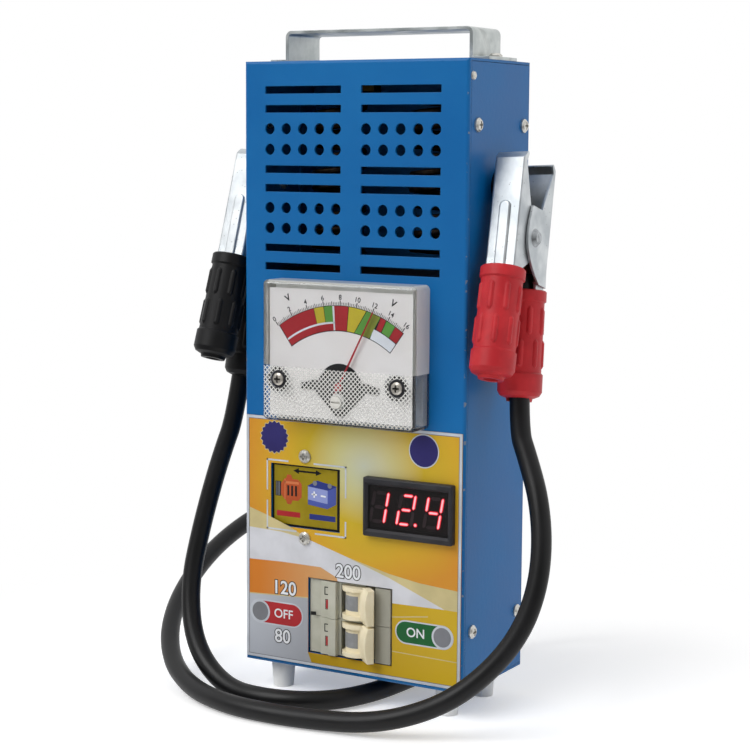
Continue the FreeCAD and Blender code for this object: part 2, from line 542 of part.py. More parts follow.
cover_blank = block("cover_blank", ("-half_meter", "half_meter"), ("front - meter_proud", "front"),
                    ("meter_z - meter_height / 2", "meter_z + meter_height / 2"))
cover_round = softened("cover_round", cover_blank, "cover_corner", lambda m, t: not near(m.y, "front"))
cover_room = block("cover_room", ("-half_meter + cover_wall", "half_meter - cover_wall"),
                   ("cover_inside", "front + over"),
                   ("meter_z - meter_height / 2 + cover_wall", "meter_z + meter_height / 2 - cover_wall"))
cover_front_way = ("front - meter_proud - over", "cover_inside + over")
cover_holes = [rod("cover_hole_%d" % i, "y", "cover_hole", *cover_front_way, spot)
               for i, spot in enumerate(dial_spots, 1)]
cover_holes.append(rod("adjuster_hole", "y", "adjuster_radius + running_fit", *cover_front_way,
                       ("0", "adjuster_z")))
node(without("meter_cover", cover_round, cover_room, *cover_holes))

dial_blank = block("dial_blank", ("-half_meter + dial_margin", "half_meter - dial_margin"),
                   ("dial_face", "dial_face + dial_thickness"),
                   ("meter_z - meter_height / 2 + dial_margin", "meter_z + meter_height / 2 - dial_drop"))
dial_holes = [rod("dial_hole_%d" % i, "y", "dial_screw_shank + screw_fit", "dial_face - over",
                  "dial_face + dial_thickness + over", spot)
              for i, spot in enumerate(dial_spots, 1)]
dial_holes.append(rod("movement_hole", "y", "dial_hole", "dial_face - over",
                      "dial_face + dial_thickness + over", ("0", "pivot_z")))
node(without("meter_dial", dial_blank, *dial_holes))

# Movement: drum behind the dial, and a dark bridge that its neck carries on the dial's face.
bridge_face = "dial_face - bridge_thickness"
drum = rod("movement_drum", "y", "movement_radius", "front - movement_front",
           "front + can_depth - can_wall",
           ("0", "pivot_z"))
neck = rod("movement_neck", "y", "neck_radius", "dial_face", "front - movement_front", ("0", "pivot_z"))
bridge = profile("movement_bridge", "XZ_Plane", [
    ("-bridge_half", "pivot_z + bridge_tip - bridge_arm"), ("-bridge_half", "pivot_z + bridge_tip"),
    ("-bridge_shoulder", "pivot_z + bridge_rise"), ("bridge_shoulder", "pivot_z + bridge_rise"),
    ("bridge_half", "pivot_z + bridge_tip"), ("bridge_half", "pivot_z + bridge_tip - bridge_arm"),
    ("bridge_shoulder", "pivot_z + bridge_tip - bridge_arm"), ("bridge_foot", "pivot_z - bridge_drop"),
    ("-bridge_foot", "pivot_z - bridge_drop"), ("-bridge_shoulder", "pivot_z + bridge_tip - bridge_arm")],
    bridge_face, "dial_face")
movement_bore = rod("movement_bore", "y", "shaft_radius + running_fit", bridge_face + " - over",
                    "front - movement_front + bore_depth", ("0", "pivot_z"))
node(without("meter_movement", joined("movement_blank", drum, neck, bridge), movement_bore))

# Needle drawn upright about its pivot, then turned to where it rests.
blade = profile("needle_blade", "XZ_Plane", [
    ("-needle_root / 2", "-needle_tail"), ("needle_root / 2", "-needle_tail"), ("needle_root / 2", "0"),
    ("needle_point / 2", "needle_length"), ("-needle_point / 2", "needle_length"),
    ("-needle_root / 2", "0")],
    "-needle_thickness", "0")
hub = rod("needle_hub", "y", "hub_radius", "-needle_thickness - hub_proud", "hub_back")
shaft = rod("needle_shaft", "y", "shaft_radius", "0",
            "needle_depth - movement_front + bore_depth - bore_spare")
needle_upright = joined("needle_upright", blade, hub, shaft)
node(copy_of("meter_needle", needle_upright, Placement(
    Vector(0, at("front - needle_depth"), at("pivot_z")), Rotation(Vector(0, 1, 0), at("needle_angle")))))

collar_form = turned("collar_form", [
    ("dial_screw_shank", "0"), ("collar_radius", "0"), ("collar_radius", "collar_height"),
    ("dial_screw_shank", "collar_height")])
group_of("meter_screw_collars", collar_form, [facing((0, -1, 0), x, "dial_face", z) for x, z in dial_spots])
group_of("meter_dial_screws", small_screw, [
    facing((0, -1, 0), x, "dial_face - collar_height", z) for x, z in dial_spots])

adjuster_face = "front - meter_proud - adjuster_proud"
adjuster_spot = ("0", "adjuster_z")
adjuster_knob = rod("adjuster_knob", "y", "adjuster_radius", adjuster_face, "cover_inside + adjuster_rear",
                    adjuster_spot)
adjuster_rim = rod("adjuster_rim", "y", "adjuster_radius + adjuster_flange",
                   "cover_inside + adjuster_clear",
                   "cover_inside + adjuster_rear", adjuster_spot)
adjuster_cut = block("adjuster_cut", ("-adjuster_slot_length / 2", "adjuster_slot_length / 2"),
                     (adjuster_face + " - over", adjuster_face + " + adjuster_slot_depth"),
                     ("adjuster_z - adjuster_slot / 2",
                      "adjuster_z + adjuster_slot / 2"))
node(without("meter_zero_adjuster", joined("adjuster_blank", adjuster_knob, adjuster_rim), adjuster_cut))

studs = []
for i, a in enumerate((-1, 1), 1):
    spot = ("%d * terminal_x" % a, "meter_z")
    can_end = "front + can_depth"
    bolt = rod("terminal_bolt_%d" % i, "y", "terminal_radius", can_end, can_end + " + terminal_length",
               spot)
    nut = rod("terminal_nut_%d" % i, "y", "nut_radius", can_end, can_end + " + nut_height", spot)
    studs.append(joined("terminal_%d" % i, bolt, nut))
node(gathered("meter_terminals", studs))

# Digital voltmeter: bezel with a tube through the panel, clear pane, display block on a circuit board.


def around(x, z, width, height):
    """Spans of a rectangle about a middle point."""
    return (("%s - (%s) / 2" % (x, width), "%s + (%s) / 2" % (x, width)),
            ("%s - (%s) / 2" % (z, height), "%s + (%s) / 2" % (z, height)))


def volt_block(name, width, height, low, high):
    """A box centred on the voltmeter."""
    wide, tall = around("volt_x", "volt_z", width, height)
    return block(name, wide, (low, high), tall)


rim = softened("bezel_rim", volt_block("bezel_plate", "bezel_width", "bezel_height", "bezel_face",
                                       "label_face"),
               "bezel_corner", lambda m, t: not near(m.y, "label_face"))
tube = volt_block("bezel_tube", "volt_body_width", "volt_body_height", "label_face",
                  "front + volt_body_depth")
tube_room = volt_block("tube_room", "volt_body_width - 2 * volt_wall", "volt_body_height - 2 * volt_wall",
                       "label_face", "front + volt_body_depth + over")
pane_room = volt_block("pane_room", "pane_width", "pane_height", "bezel_face - over", "label_face + over")
bezel_open = without("bezel_open", joined("bezel_blank", rim, tube), tube_room, pane_room)
node(softened("voltmeter_bezel", bezel_open, "bezel_bevel",
              lambda m, t: near(m.y, "bezel_face") and abs(m.x - at("volt_x")) < at("pane_width / 2") + 0.01
              and abs(m.z - at("volt_z")) < at("pane_height / 2") + 0.01, "Chamfer"))
node(volt_block("voltmeter_pane", "pane_width", "pane_height", "pane_face", "pane_face + pane_thickness"))
node(volt_block("voltmeter_display", "display_width", "display_height", "display_face", "board_face"))
node(volt_block("voltmeter_board", "volt_body_width - 2 * volt_wall", "volt_body_height - 2 * volt_wall",
                "board_face",
                "board_face + board_thickness"))

# Lit segments: each a six-cornered bar, leaning with the digit; the uprights reach past the level bars.
SEGMENTS = {"a": ((0, 1), (1, 1)), "b": ((1, 1), (1, 0.5)), "c": ((1, 0.5), (1, 0)), "d": ((0, 0), (1, 0)),
            "e": ((0, 0.5), (0, 0)), "f": ((0, 1), (0, 0.5)), "g": ((0, 0.5), (1, 0.5))}
READING = ((-1, "bc"), (0, "abged"), (1, "fgbc"))


def lit_bar(points):
    """A thin plate in front of the display block, leaning with the digits."""
    lean = math.tan(math.radians(at("digit_lean")))
    face = at("display_face")
    spots = [Vector(at("volt_x") + x + lean * z, face, at("volt_z") + z) for x, z in points]
    return Part.Face(Part.makePolygon(spots + spots[:1])).extrude(Vector(0, -at("segment_thickness"), 0))


bars = []
half = at("segment_width") / 2
wide, tall = at("digit_width") - 2 * half, at("digit_height") - 2 * half
for place, letters in READING:
    left = at("reading_x") + place * at("digit_pitch") - wide / 2
    for letter in letters:
        (xa, za), (xb, zb) = [(left + x * wide, (z - 0.5) * tall) for x, z in SEGMENTS[letter]]
        long = Vector(xb - xa, 0, zb - za).normalize()
        cross = Vector(-long.z, 0, long.x) * half
        outer_end = at("level_inset") if letter in "adg" else -at("upright_over")
        inner_end = at("level_inset") if letter in "adg" else at("segment_gap")
        ends = [inner_end if level == 0.5 else outer_end for across, level in SEGMENTS[letter]]
        start = Vector(xa, 0, za) + long * ends[0]
        stop = Vector(xb, 0, zb) - long * ends[1]
        ring = [start, start + long * half + cross, stop - long * half + cross, stop,
                stop - long * half - cross, start + long * half - cross]
        bars.append(lit_bar([(p.x, p.z) for p in ring]))
dot_z = at("dot_rise") - tall / 2
dot_lean = math.tan(math.radians(at("digit_lean"))) * dot_z
bars.append(Part.makeCylinder(at("dot_radius"), at("segment_thickness"), Vector(
    at("volt_x + reading_x + dot_x") + dot_lean, at("display_face"), at("volt_z") + dot_z),
    Vector(0, -1, 0)))
node(free_form("lit_digits", Part.makeCompound(bars)))

# Legend window: printed pane behind the panel, pressed on by a light box with two screw tabs.
plate_width, plate_height = "legend_width + 2 * legend_margin", "legend_height + 2 * legend_margin"
wide, tall = around("legend_x", "legend_z", plate_width, plate_height)
node(block("legend_window", wide, ("inside_front", "legend_back"), tall))
wide, tall = around("legend_x", "legend_z", plate_width, plate_height + " + 2 * light_box_rim")
shell = block("light_box_shell", wide, ("legend_back", "legend_back + light_box_depth"), tall)
ears = [block("light_box_ear_%d" % i, ("legend_x - tab_half", "legend_x + tab_half"),
              ("inside_front", "legend_back"),
              ends) for i, ends in enumerate((
                  ("legend_z + (%s) / 2" % plate_height, "legend_z + tab_reach"),
                  ("legend_z - tab_reach", "legend_z - (%s) / 2" % plate_height)), 1)]
wide, tall = around("legend_x", "legend_z", plate_width + " - 2 * light_box_wall",
                    plate_height + " - 2 * light_box_wall")
light_room = block("light_room", wide,
                   ("legend_back - over", "legend_back + light_box_depth - light_box_wall"), tall)
ear_holes = [rod("ear_hole_%d" % i, "y", "screw_shank", "front", "front + 2 * screw_length", spot)
             for i, spot in enumerate(legend_screw_spots, 1)]
node(without("legend_light_box", joined("light_box_blank", shell, *ears), light_room, *ear_holes))
group_of("legend_screws", case_screw,
         [facing((0, -1, 0), x, "label_face", z) for x, z in legend_screw_spots])

# Breaker modules: stepped nose, pocket for the toggle drum, flat back on the rail.
nose = [("-breaker_half", "rail_face"), ("-breaker_half", "front + shoulder"),
        ("nose_left", "front + shoulder"),
        ("nose_left", "front + recess_depth"), ("nose_step", "front + recess_depth"),
        ("nose_step", "front - step_height"), ("nose_ridge", "front - step_height"),
        ("nose_ridge", "front - ridge_height"), ("nose_groove", "front - ridge_height"),
        ("nose_groove", "front + recess_depth"), ("nose_pocket", "front + recess_depth"),
        ("nose_pocket", "front + pocket_depth"), ("nose_block", "front + pocket_depth"),
        ("nose_block", "front - block_height"), ("nose_right", "front - block_height"),
        ("nose_right", "front + shoulder"), ("breaker_half", "front + shoulder"),
        ("breaker_half", "rail_face")]
half_module = "(module - module_gap) / 2"
moulding = profile("breaker_moulding", "XY_Plane", nose, "-%s" % half_module, half_module)
toggle_spot = ("toggle_x", "front + toggle_depth")
drum_room = rod("drum_room", "z", "drum_radius + drum_gap", "-drum_height / 2 - drum_gap",
                "drum_height / 2 + drum_gap",
                toggle_spot)
pin_room = rod("pin_room", "z", "pin_radius + running_fit", "-pin_height / 2 - drum_gap / 4",
               "pin_height / 2 + drum_gap / 4", toggle_spot)
breaker_form = without("breaker_form", moulding, drum_room, pin_room)

# Toggle drawn about its pin with the lever straight forward, then turned to the switched-on side. Its paddle
# is crowned on the left face.
drum = turned("toggle_drum", [
    ("0", "-drum_height / 2"), ("drum_radius", "-drum_height / 2"),
    ("drum_radius", "-drum_height / 2 + drum_rim"),
    ("drum_waist", "-drum_height / 2 + drum_rim"), ("drum_waist", "drum_height / 2 - drum_rim"),
    ("drum_radius", "drum_height / 2 - drum_rim"), ("drum_radius", "drum_height / 2"),
    ("0", "drum_height / 2")])
pin = rod("toggle_pin", "z", "pin_radius", "-pin_height / 2", "pin_height / 2")
root = block("lever_root_block", ("-lever_root / 2", "lever_root / 2"), ("-paddle_start - over", "0"),
             ("-lever_height / 2", "lever_height / 2"))
CROWN_STEPS = 8
crown = [2 * i / CROWN_STEPS - 1 for i in range(CROWN_STEPS + 1)]
paddle = profile("lever_paddle", "XZ_Plane", [
    ("-paddle_left - paddle_crown * %.4f" % (1 - share ** 2), "%.4f * paddle_half" % share)
    for share in crown] + [
    ("paddle_right", "paddle_half"), ("paddle_right", "-paddle_half")], "-lever_reach", "-paddle_start")
paddle_soft = softened("paddle_soft", paddle, "paddle_edge", lambda m, t: near(m.y, "-lever_reach"))
toggle_form = joined("toggle_form", drum, pin, root, paddle_soft)
for word, sign in (("lower", -1), ("upper", 1)):
    level = at("breaker_z") + sign * at("module") / 2
    node(copy_of("breaker_" + word, breaker_form, Placement(Vector(0, 0, level), Rotation())))
    node(copy_of("toggle_" + word, toggle_form, Placement(
        Vector(at("toggle_x"), at("front + toggle_depth"), level),
        Rotation(Vector(0, 0, 1), at("lever_angle")))))

rail_front = "rail_face + rail_thickness"
rail_edge = "rail_foot + rail_thickness"
hat = [("-rail_half", "rail_face"), ("-rail_foot", "rail_face"),
       ("-rail_foot", "inside_back - rail_thickness"),
       ("rail_foot", "inside_back - rail_thickness"), ("rail_foot", "rail_face"),
       ("rail_half", "rail_face"),
       ("rail_half", rail_front), (rail_edge, rail_front), (rail_edge, "inside_back"),
       ("-(%s)" % rail_edge, "inside_back"),
       ("-(%s)" % rail_edge, rail_front), ("-rail_half", rail_front)]
rail_blank = profile("rail_blank", "XY_Plane", hat, "bottom + flange + seam_gap",
                     "breaker_z + module + rail_over")
node(without("din_rail", rail_blank, *[
    rod("rail_hole_%d" % i, "y", "screw_shank", "inside_back - hole_reach", "back", spot)
    for i, spot in enumerate(rail_spots, 1)]))

# Load coils between two insulating boards; the wire ends run square into brass blocks.


def biarc(start, start_dir, end, end_dir):
    """Two arcs that leave and arrive along given directions."""
    gap, both = end - start, start_dir + end_dir
    bend = 2 * (1 - start_dir.dot(end_dir))
    reach = (-gap.dot(both) + math.sqrt(gap.dot(both) ** 2 + bend * gap.dot(gap))) / bend
    meeting = (start + end + (start_dir - end_dir) * reach) * 0.5
    arcs = []
    for a, b, corner in ((start, meeting, start + start_dir * reach),
                         (meeting, end, end - end_dir * reach)):
        middle, chord = (a + b) * 0.5, (b - a).Length / 2
        half_turn = math.acos(chord / (corner - a).Length)
        rise = (corner - middle).normalize() * (chord * math.tan(half_turn / 2))
        arcs.append(Part.Arc(a, middle + rise, b).toShape())
    return arcs


def winding(radius, pitch, turns, wire, run, first=0.0):
    """A coil about Z from its first angle, with a straight run at each end along the wire's direction."""
    def spot(angle):
        return Vector(radius * math.cos(angle), radius * math.sin(angle),
                      pitch * (angle - first) / (2 * math.pi))

    def way(angle):
        return Vector(-radius * math.sin(angle), radius * math.cos(angle),
                      pitch / (2 * math.pi)).normalize()

    angles = [first + math.pi / 2 * i for i in range(int(round(turns * 4)) + 1)]
    level = [Vector(way(a).x, way(a).y, 0).normalize() if a in (angles[0], angles[-1]) else way(a)
             for a in angles]
    edges = [Part.LineSegment(spot(angles[0]) - level[0] * run, spot(angles[0])).toShape()]
    for i in range(len(angles) - 1):
        edges += biarc(spot(angles[i]), level[i], spot(angles[i + 1]), level[i + 1])
    edges.append(Part.LineSegment(spot(angles[-1]), spot(angles[-1]) + level[-1] * run).toShape())
    ring = Part.Wire(Part.Circle(edges[0].Vertexes[0].Point, level[0], wire).toShape())
    return Part.Wire(edges).makePipeShell([ring], True, False)


coil_shape = winding(at("coil_radius"), at("coil_pitch"), at("coil_turns"), at("coil_wire"), at("coil_end"))
print("load coil: gap between loops %.2f mm" % (at("coil_pitch") - 2 * at("coil_wire")))
terminals = []
for side, word in ((-1, "left"), (1, "right")):
    coil = node(free_form("load_coil_" + word, coil_shape))
    coil.Placement = Placement(Vector(side * at("coil_x"), at("coil_line"), at("coil_z")), Rotation())
    line = "%d * coil_x + coil_radius" % side
    span = ("%s - coil_block / 2" % line, "%s + coil_block / 2" % line)
    terminals.append(block("coil_foot_" + word, span,
                           ("coil_line - coil_end - coil_block", "coil_line - coil_end"),
                           ("shelf_top", "coil_z + coil_block / 2")))
    terminals.append(block("coil_head_" + word, span,
                           ("coil_line + coil_end", "coil_line + coil_end + coil_block"),
                           ("coil_top - coil_block / 2", "ceiling_z")))
node(gathered("coil_terminals", terminals))
between = "half_case - 2 * sheet"
node(block("insulating_shelf", ("-(%s)" % between, between), ("inside_front", "inside_back"),
           ("shelf_z", "shelf_top")))
node(block("insulating_ceiling", ("-ceiling_half", "ceiling_half"),
           ("inside_front + board_inset", "inside_back - board_inset"), ("ceiling_z", "top - sheet")))
breaker_top = "breaker_z + module / 2 + (module - module_gap) / 2"
node(gathered("busbars", [
    block("busbar_%d" % i, ("%d * bar_x - bar_width / 2" % a, "%d * bar_x + bar_width / 2" % a),
          ("case_y + bar_y", "case_y + bar_y + bar_thickness"), (breaker_top, "shelf_z"))
    for i, a in enumerate((-1, 1), 1)]))

# Clamp halves: pressed channels, the rear one wider so that the front one swings inside it.


BOSS_STEPS = 6


def jaw_points(sign, boss, arch, low):
    """Side outline of a clamp half with a curved boss; the sign is -1 for the front half, 1 for the rear."""
    flare = "tan(%s * 1 deg)" % ("front_flare" if sign < 0 else "rear_flare")

    def edge(face, level):
        return "(%s + (%s - jaw_bend) * %s)" % (face, level, flare)

    inner = "jaw_half - channel_depth"
    points = [("jaw_half", "-jaw_bend"), ("jaw_half", "jaw_tip - lip"), ("(jaw_half - lip)", "jaw_tip"),
              ("(jaw_half - lip - 0.7 * sheet)", "jaw_tip - 0.7 * sheet"),
              ("(jaw_half - flange_edge)", "jaw_tip - lip - sheet"), ("mouth_half", "mouth_apex")]
    shares = [i / BOSS_STEPS for i in range(BOSS_STEPS + 1)]
    points += [("(-%s + boss_fall * %.4f)" % (boss, share ** 2), "mouth_apex * %.4f" % share)
               for share in reversed(shares)]
    points += [("(-%s + (%s + %s) * %.4f)" % (boss, boss, edge(inner, arch), share ** 2),
                "-(%s) * %.4f" % (arch, share)) for share in shares[1:]]
    if arch != low:
        points.append((edge(inner, low), "-(%s)" % low))
    points.append((edge("jaw_half", low), "-(%s)" % low))
    return [(("-(%s)" if sign < 0 else "%s") % a, b) for a, b in points]


def hollow_points(sign, low):
    """The room inside a clamp half, open toward the other half."""
    flare = "tan(%s * 1 deg)" % ("front_flare" if sign < 0 else "rear_flare")
    run = "(%s + over - jaw_bend)" % low
    return [(("-(%s)" if sign < 0 else "%s") % a, b) for a, b in (
        ("(jaw_half - sheet)", "-jaw_bend"), ("(jaw_half - sheet)", "jaw_tip - lip - 0.4 * sheet"),
        ("(jaw_half - lip - 0.7 * sheet)", "jaw_tip - 0.7 * sheet"),
        ("(-jaw_half)", "jaw_tip - 0.7 * sheet"),
        ("(-jaw_half)", "-(%s + over)" % low), ("(jaw_half - sheet + %s * %s)" % (run, flare),
                                                "-(%s + over)" % low))]


def web_rib(name, sign):
    """A rounded stiffening bead on the outer face of a clamp half, with a round upper end."""
    inner, outer = "jaw_half - sheet / 2", "jaw_half + rib_height"
    span = (inner, outer) if sign > 0 else ("-(%s)" % outer, "-(%s)" % inner)
    bead = block(name + "_bar", ("-rib_half", "rib_half"), span,
                 ("-jaw_bend - rib_reach", "rib_top - rib_half"))
    end = rod(name + "_end", "y", "rib_half", *span, ("0", "rib_top - rib_half"))
    return softened(name, joined(name + "_blank", bead, end), "rib_edge",
                    lambda m, t: near(abs(m.y),
                                      outer) and (abs(t.x) < 0.9 or m.z > at("rib_top - rib_half")))


front_solid = softened("front_jaw_soft",
                       profile("front_jaw_solid", "YZ_Plane",
                               jaw_points(-1, "boss_front", "front_arch", "handle_low"),
                                                 "-half_front", "half_front"), "jaw_corner",
                       lambda m, t: near(abs(m.x),
                                         "half_front") and m.y < -at("jaw_half") + 0.1 and abs(t.z) > 0.9)
front_room = profile("front_jaw_room", "YZ_Plane", hollow_points(-1, "handle_low"), "-half_front + sheet",
                     "half_front - sheet")
front_hole = rod("front_jaw_hole", "x", "rivet_radius + running_fit", "-half_front - over",
                 "half_front + over")
front_jaw_form = without("front_jaw_form",
                         joined("front_jaw_ribbed", front_solid, web_rib("front_rib", -1)),
                         front_room, front_hole)

rear_wide = softened("rear_jaw_soft",
                     profile("rear_jaw_wide", "YZ_Plane", jaw_points(1, "boss_rear", "jog_low", "jog_low"),
                                              "-half_rear", "half_rear"), "jaw_corner",
                     lambda m, t: near(abs(m.x),
                                       "half_rear") and m.y > at("jaw_half") - 0.1 and abs(t.z) > 0.9)
rear_slim = profile("rear_jaw_slim", "YZ_Plane", [
    ("jaw_half - channel_depth + (jog_high - jaw_bend) * tan(rear_flare * 1 deg)", "-jog_high"),
    ("jaw_half - channel_depth + (handle_low - jaw_bend) * tan(rear_flare * 1 deg)", "-handle_low"),
    ("jaw_half + (handle_low - jaw_bend) * tan(rear_flare * 1 deg)", "-handle_low"),
    ("jaw_half + (jog_high - jaw_bend) * tan(rear_flare * 1 deg)", "-jog_high")], "-half_front",
    "half_front")
rear_room = profile("rear_jaw_room", "YZ_Plane", hollow_points(1, "jog_low - sheet - over"), "-inside_rear",
                    "inside_rear")
rear_room_slim = profile("rear_jaw_room_slim", "YZ_Plane", hollow_points(1, "handle_low"),
                         "-half_front + sheet",
                         "half_front - sheet")
rear_hole = rod("rear_jaw_hole", "x", "rivet_radius", "-half_rear - over", "half_rear + over")
rear_jaw_form = without("rear_jaw_form", joined("rear_jaw_ribbed", rear_wide, rear_slim,
                                                web_rib("rear_rib", 1)),
                        rear_room, rear_room_slim, rear_hole)

rivet_bar = rod("rivet_bar", "x", "rivet_radius", "-half_rear", "half_rear")
rivet_heads = [rod("rivet_head_1", "x", "rivet_head", "half_rear", "half_rear + rivet_head_height",
                   end_radius="rivet_crown"),
               rod("rivet_head_2", "x", "rivet_crown", "-half_rear - rivet_head_height", "-half_rear",
                   end_radius="rivet_head")]
rivet_form = joined("rivet_form", rivet_bar, *rivet_heads)

spring_shape = winding(at("spring_radius"), at("spring_pitch"), at("spring_turns"), at("spring_wire"),
                       at("spring_leg"), math.radians(at("spring_start")))
spring_shape.Placement = Placement(Vector(-at("spring_pitch * spring_turns / 2"), 0, 0),
                                   Rotation(Vector(0, 0, 1), Vector(1, 0, 0)))
spring_form = free_form("spring_form", spring_shape)


def grip_frame(sign, along, inward):
    """A place on a flared handle: along it from the bend, inward from its outer face."""
    flare = math.radians(at("front_flare" if sign < 0 else "rear_flare"))
    spot = Vector(0, sign * (at("jaw_half") + along * math.sin(flare) - inward * math.cos(flare)),
                  -at("jaw_bend") - along * math.cos(flare) - inward * math.sin(flare))
    return Placement(spot, Rotation(Vector(1, 0, 0), sign * math.degrees(flare)))


# Grip sleeve drawn hanging from its upper end, its axis at zero; the handle's channel fills the slot in it.
sleeve_turn = turned("sleeve_turn", [
    ("0", "0"), ("collar_top - collar_edge", "0"), ("collar_top", "-collar_edge"),
    ("collar_top", "-collar_length"),
    ("sleeve_radius", "-collar_length - collar_edge"),
    ("sleeve_radius", "-sleeve_length + sleeve_end + cup_step"),
    ("collar_bottom", "-sleeve_length + sleeve_end"), ("collar_bottom", "-sleeve_length + cup_round"),
    ("collar_bottom - cup_edge_in", "-sleeve_length + cup_edge"),
    ("collar_bottom - cup_floor_in", "-sleeve_length"),
    ("spigot_radius", "-sleeve_length"), ("spigot_radius - spigot_taper", "-sleeve_length - spigot_length"),
    ("0", "-sleeve_length - spigot_length")])
bead_form = turned("bead_form", [
    ("0", "0"), ("0.6 * bead_radius", "-0.2 * bead_radius"), ("bead_radius", "-bead_radius"),
    ("bead_radius", "bead_radius - bead_length"), ("0.6 * bead_radius", "0.2 * bead_radius - bead_length"),
    ("0", "-bead_length")])
beads = []
for row, start in enumerate(("bead_first", "bead_second")):
    for i in range(int(at("bead_count"))):
        angle = 2 * math.pi / at("bead_count") * (i + row / 2)
        ring = at("sleeve_radius - bead_sink")
        beads.append(copy_of("bead_%d_%d" % (row, i), bead_form, Placement(
            Vector(ring * math.cos(angle), ring * math.sin(angle), -at(start)), Rotation())))
sleeve_blank = joined("sleeve_blank", sleeve_turn, *beads)


def grip_slot(name, start):
    """Room for the handle's channel inside a sleeve that starts some way down the handle."""
    return block(name, ("-half_front - sleeve_fit", "half_front + sleeve_fit"),
                 ("-channel_depth + sleeve_offset - sleeve_fit", "sleeve_offset + sleeve_fit"),
                 ("-handle_length + %s - slot_spare" % start, "over"))


front_slot = grip_slot("front_slot", "front_sleeve_start")
spigot_room = rod("spigot_room", "z", "spigot_hole", "-sleeve_length - spigot_length - over",
                  "-sleeve_length + spigot_hole_depth")
front_mirror = doc.addObject("Part::Mirroring", "front_slot_turned")
front_mirror.Source = front_slot
front_mirror.Normal = Vector(0, 1, 0)
front_sleeve_form = without("front_sleeve_form", sleeve_blank, front_mirror, spigot_room)
rear_slot = grip_slot("rear_slot", "rear_sleeve_start")
lead_line = "sheet + lead_fit + lead_radius"
lead_room = rod("lead_room", "z", "lead_radius + lead_fit / 2", "-sleeve_length - spigot_length - over",
                "over",
                ("0", "sleeve_offset - (%s)" % lead_line))
rear_sleeve_form = without("rear_sleeve_form", sleeve_blank, rear_slot, lead_room)

# Crimp that holds the bared lead end against the inside of the rear half.
crimp_form = block("crimp_form", ("-crimp_half", "crimp_half"),
                   ("lead_fit - lead_radius", "lead_fit + lead_radius"),
                   ("0", "crimp_length"))

for side, word in ((1, "red"), (-1, "black")):
    place = clamp_place(side)
    node(copy_of(word + "_front_jaw", front_jaw_form, place))
    node(copy_of(word + "_rear_jaw", rear_jaw_form, place))
    node(copy_of(word + "_pivot_rivet", rivet_form, place))
    node(copy_of(word + "_jaw_spring", spring_form, place))
    node(copy_of(word + "_front_sleeve", front_sleeve_form,
                 place * grip_frame(-1, at("front_sleeve_start"), at("sleeve_offset"))))
    node(copy_of(word + "_rear_sleeve", rear_sleeve_form,
                 place * grip_frame(1, at("rear_sleeve_start"), at("sleeve_offset"))))
    node(copy_of(word + "_cable_crimp", crimp_form, place * grip_frame(1, at("lead_start"), at(lead_line))))

# Parking studs that the closed jaws hold on to, each with a screw from inside the case.
stud_form = turned("stud_form", [
    ("screw_shank", "0"), ("stud_radius + stud_flare", "0"), ("stud_radius + stud_flare", "stud_base"),
    ("stud_radius", "stud_base"), ("stud_radius", "stud_proud - stud_edge"),
    ("stud_radius - stud_edge", "stud_proud"),
    ("0", "stud_proud"), ("0", "stud_proud - stud_cap"), ("screw_shank", "stud_proud - stud_cap")])
stud_places, inner_places = [], []
for side in (-1, 1):
    spot = clamp_place(side).multVec(Vector(0, 0, at("stud_reach")))
    stud_places.append(facing((side, 0, 0), "%d * half_case" % side, str(spot.y), str(spot.z)))
    inner_places.append(facing((-side, 0, 0), "%d * (half_case - sheet)" % side, str(spot.y), str(spot.z)))
group_of("parking_studs", stud_form, stud_places)
stud_screw = pan_screw("stud_screw", "screw_head", "screw_head_height", "screw_shank",
                       "sheet + stud_proud - stud_cap - stud_screw_gap")
group_of("stud_screws", stud_screw, inner_places)

# Strain reliefs where the leads enter the back.
relief_form = turned("relief_form", [
    ("0", "-sheet - relief_inside"), ("relief_neck + relief_barb", "-sheet - relief_inside"),
    ("relief_neck + relief_barb", "-sheet"),
    ("relief_neck", "-sheet"), ("relief_neck", "0"), ("relief_flange", "0"),
    ("relief_flange", "relief_flange_height"),
    ("relief_base", "relief_flange_height"), ("relief_tip", "relief_length"), ("0", "relief_length")])
group_of("strain_reliefs", relief_form, [facing((0, 1, 0), x, "back", z) for x, z in relief_spots])

# Leads: straight runs and tangent arcs along points chosen by hand.
RED_ROUTE = (
    (73.42, -2.31, 206.91), (76.35, -13.53, 139.9), (85.5, -18.5, 123.0), (94.0, -25.0, 107.0),
    (99.0, -31.5, 88.0), (99.5, -37.5, 69.0), (94.5, -43.5, 50.0), (83.0, -50.0, 33.0), (67.5, -57.0, 19.0),
    (49.5, -65.0, 10.5), (29.0, -70.5, 5.7), (5.0, -74.5, 4.7), (-20.0, -77.0, 4.7), (-45.0, -74.5, 4.7),
    (-71.5, -63.5, 5.5), (-94.5, -47.5, 11.5), (-111.5, -26.0, 22.5), (-121.5, 0.0, 35.0),
    (-124.5, 28.0, 48.5),
    (-121.5, 57.0, 60.0), (-112.5, 83.0, 68.5), (-94.5, 103.1, 77.0), (-69.5, 111.6, 85.5),
    (-43.8, 107.5, 94.0),
    (-23.0, 91.9, 103.0), (-12.0, 70.0, 109.5), (-12.0, 48.5, 109.5))
BLACK_ROUTE = (
    (-73.42, -2.31, 206.91), (-76.54, -14.28, 135.45), (-83.6, -20.5, 109.5), (-89.0, -28.5, 77.5),
    (-91.0, -37.0, 47.0), (-80.5, -47.0, 20.0), (-57.0, -54.5, 4.7), (-29.0, -58.5, 4.7),
    (-5.0, -48.5, 4.7),
    (7.0, -25.0, 4.7), (10.5, 7.0, 4.7), (12.0, 39.0, 4.7), (12.0, 71.0, 4.7), (12.0, 95.2, 19.0),
    (12.0, 109.2, 43.2), (12.0, 109.2, 71.2), (12.0, 95.2, 95.5), (12.0, 71.0, 109.5), (12.0, 48.5, 109.5))
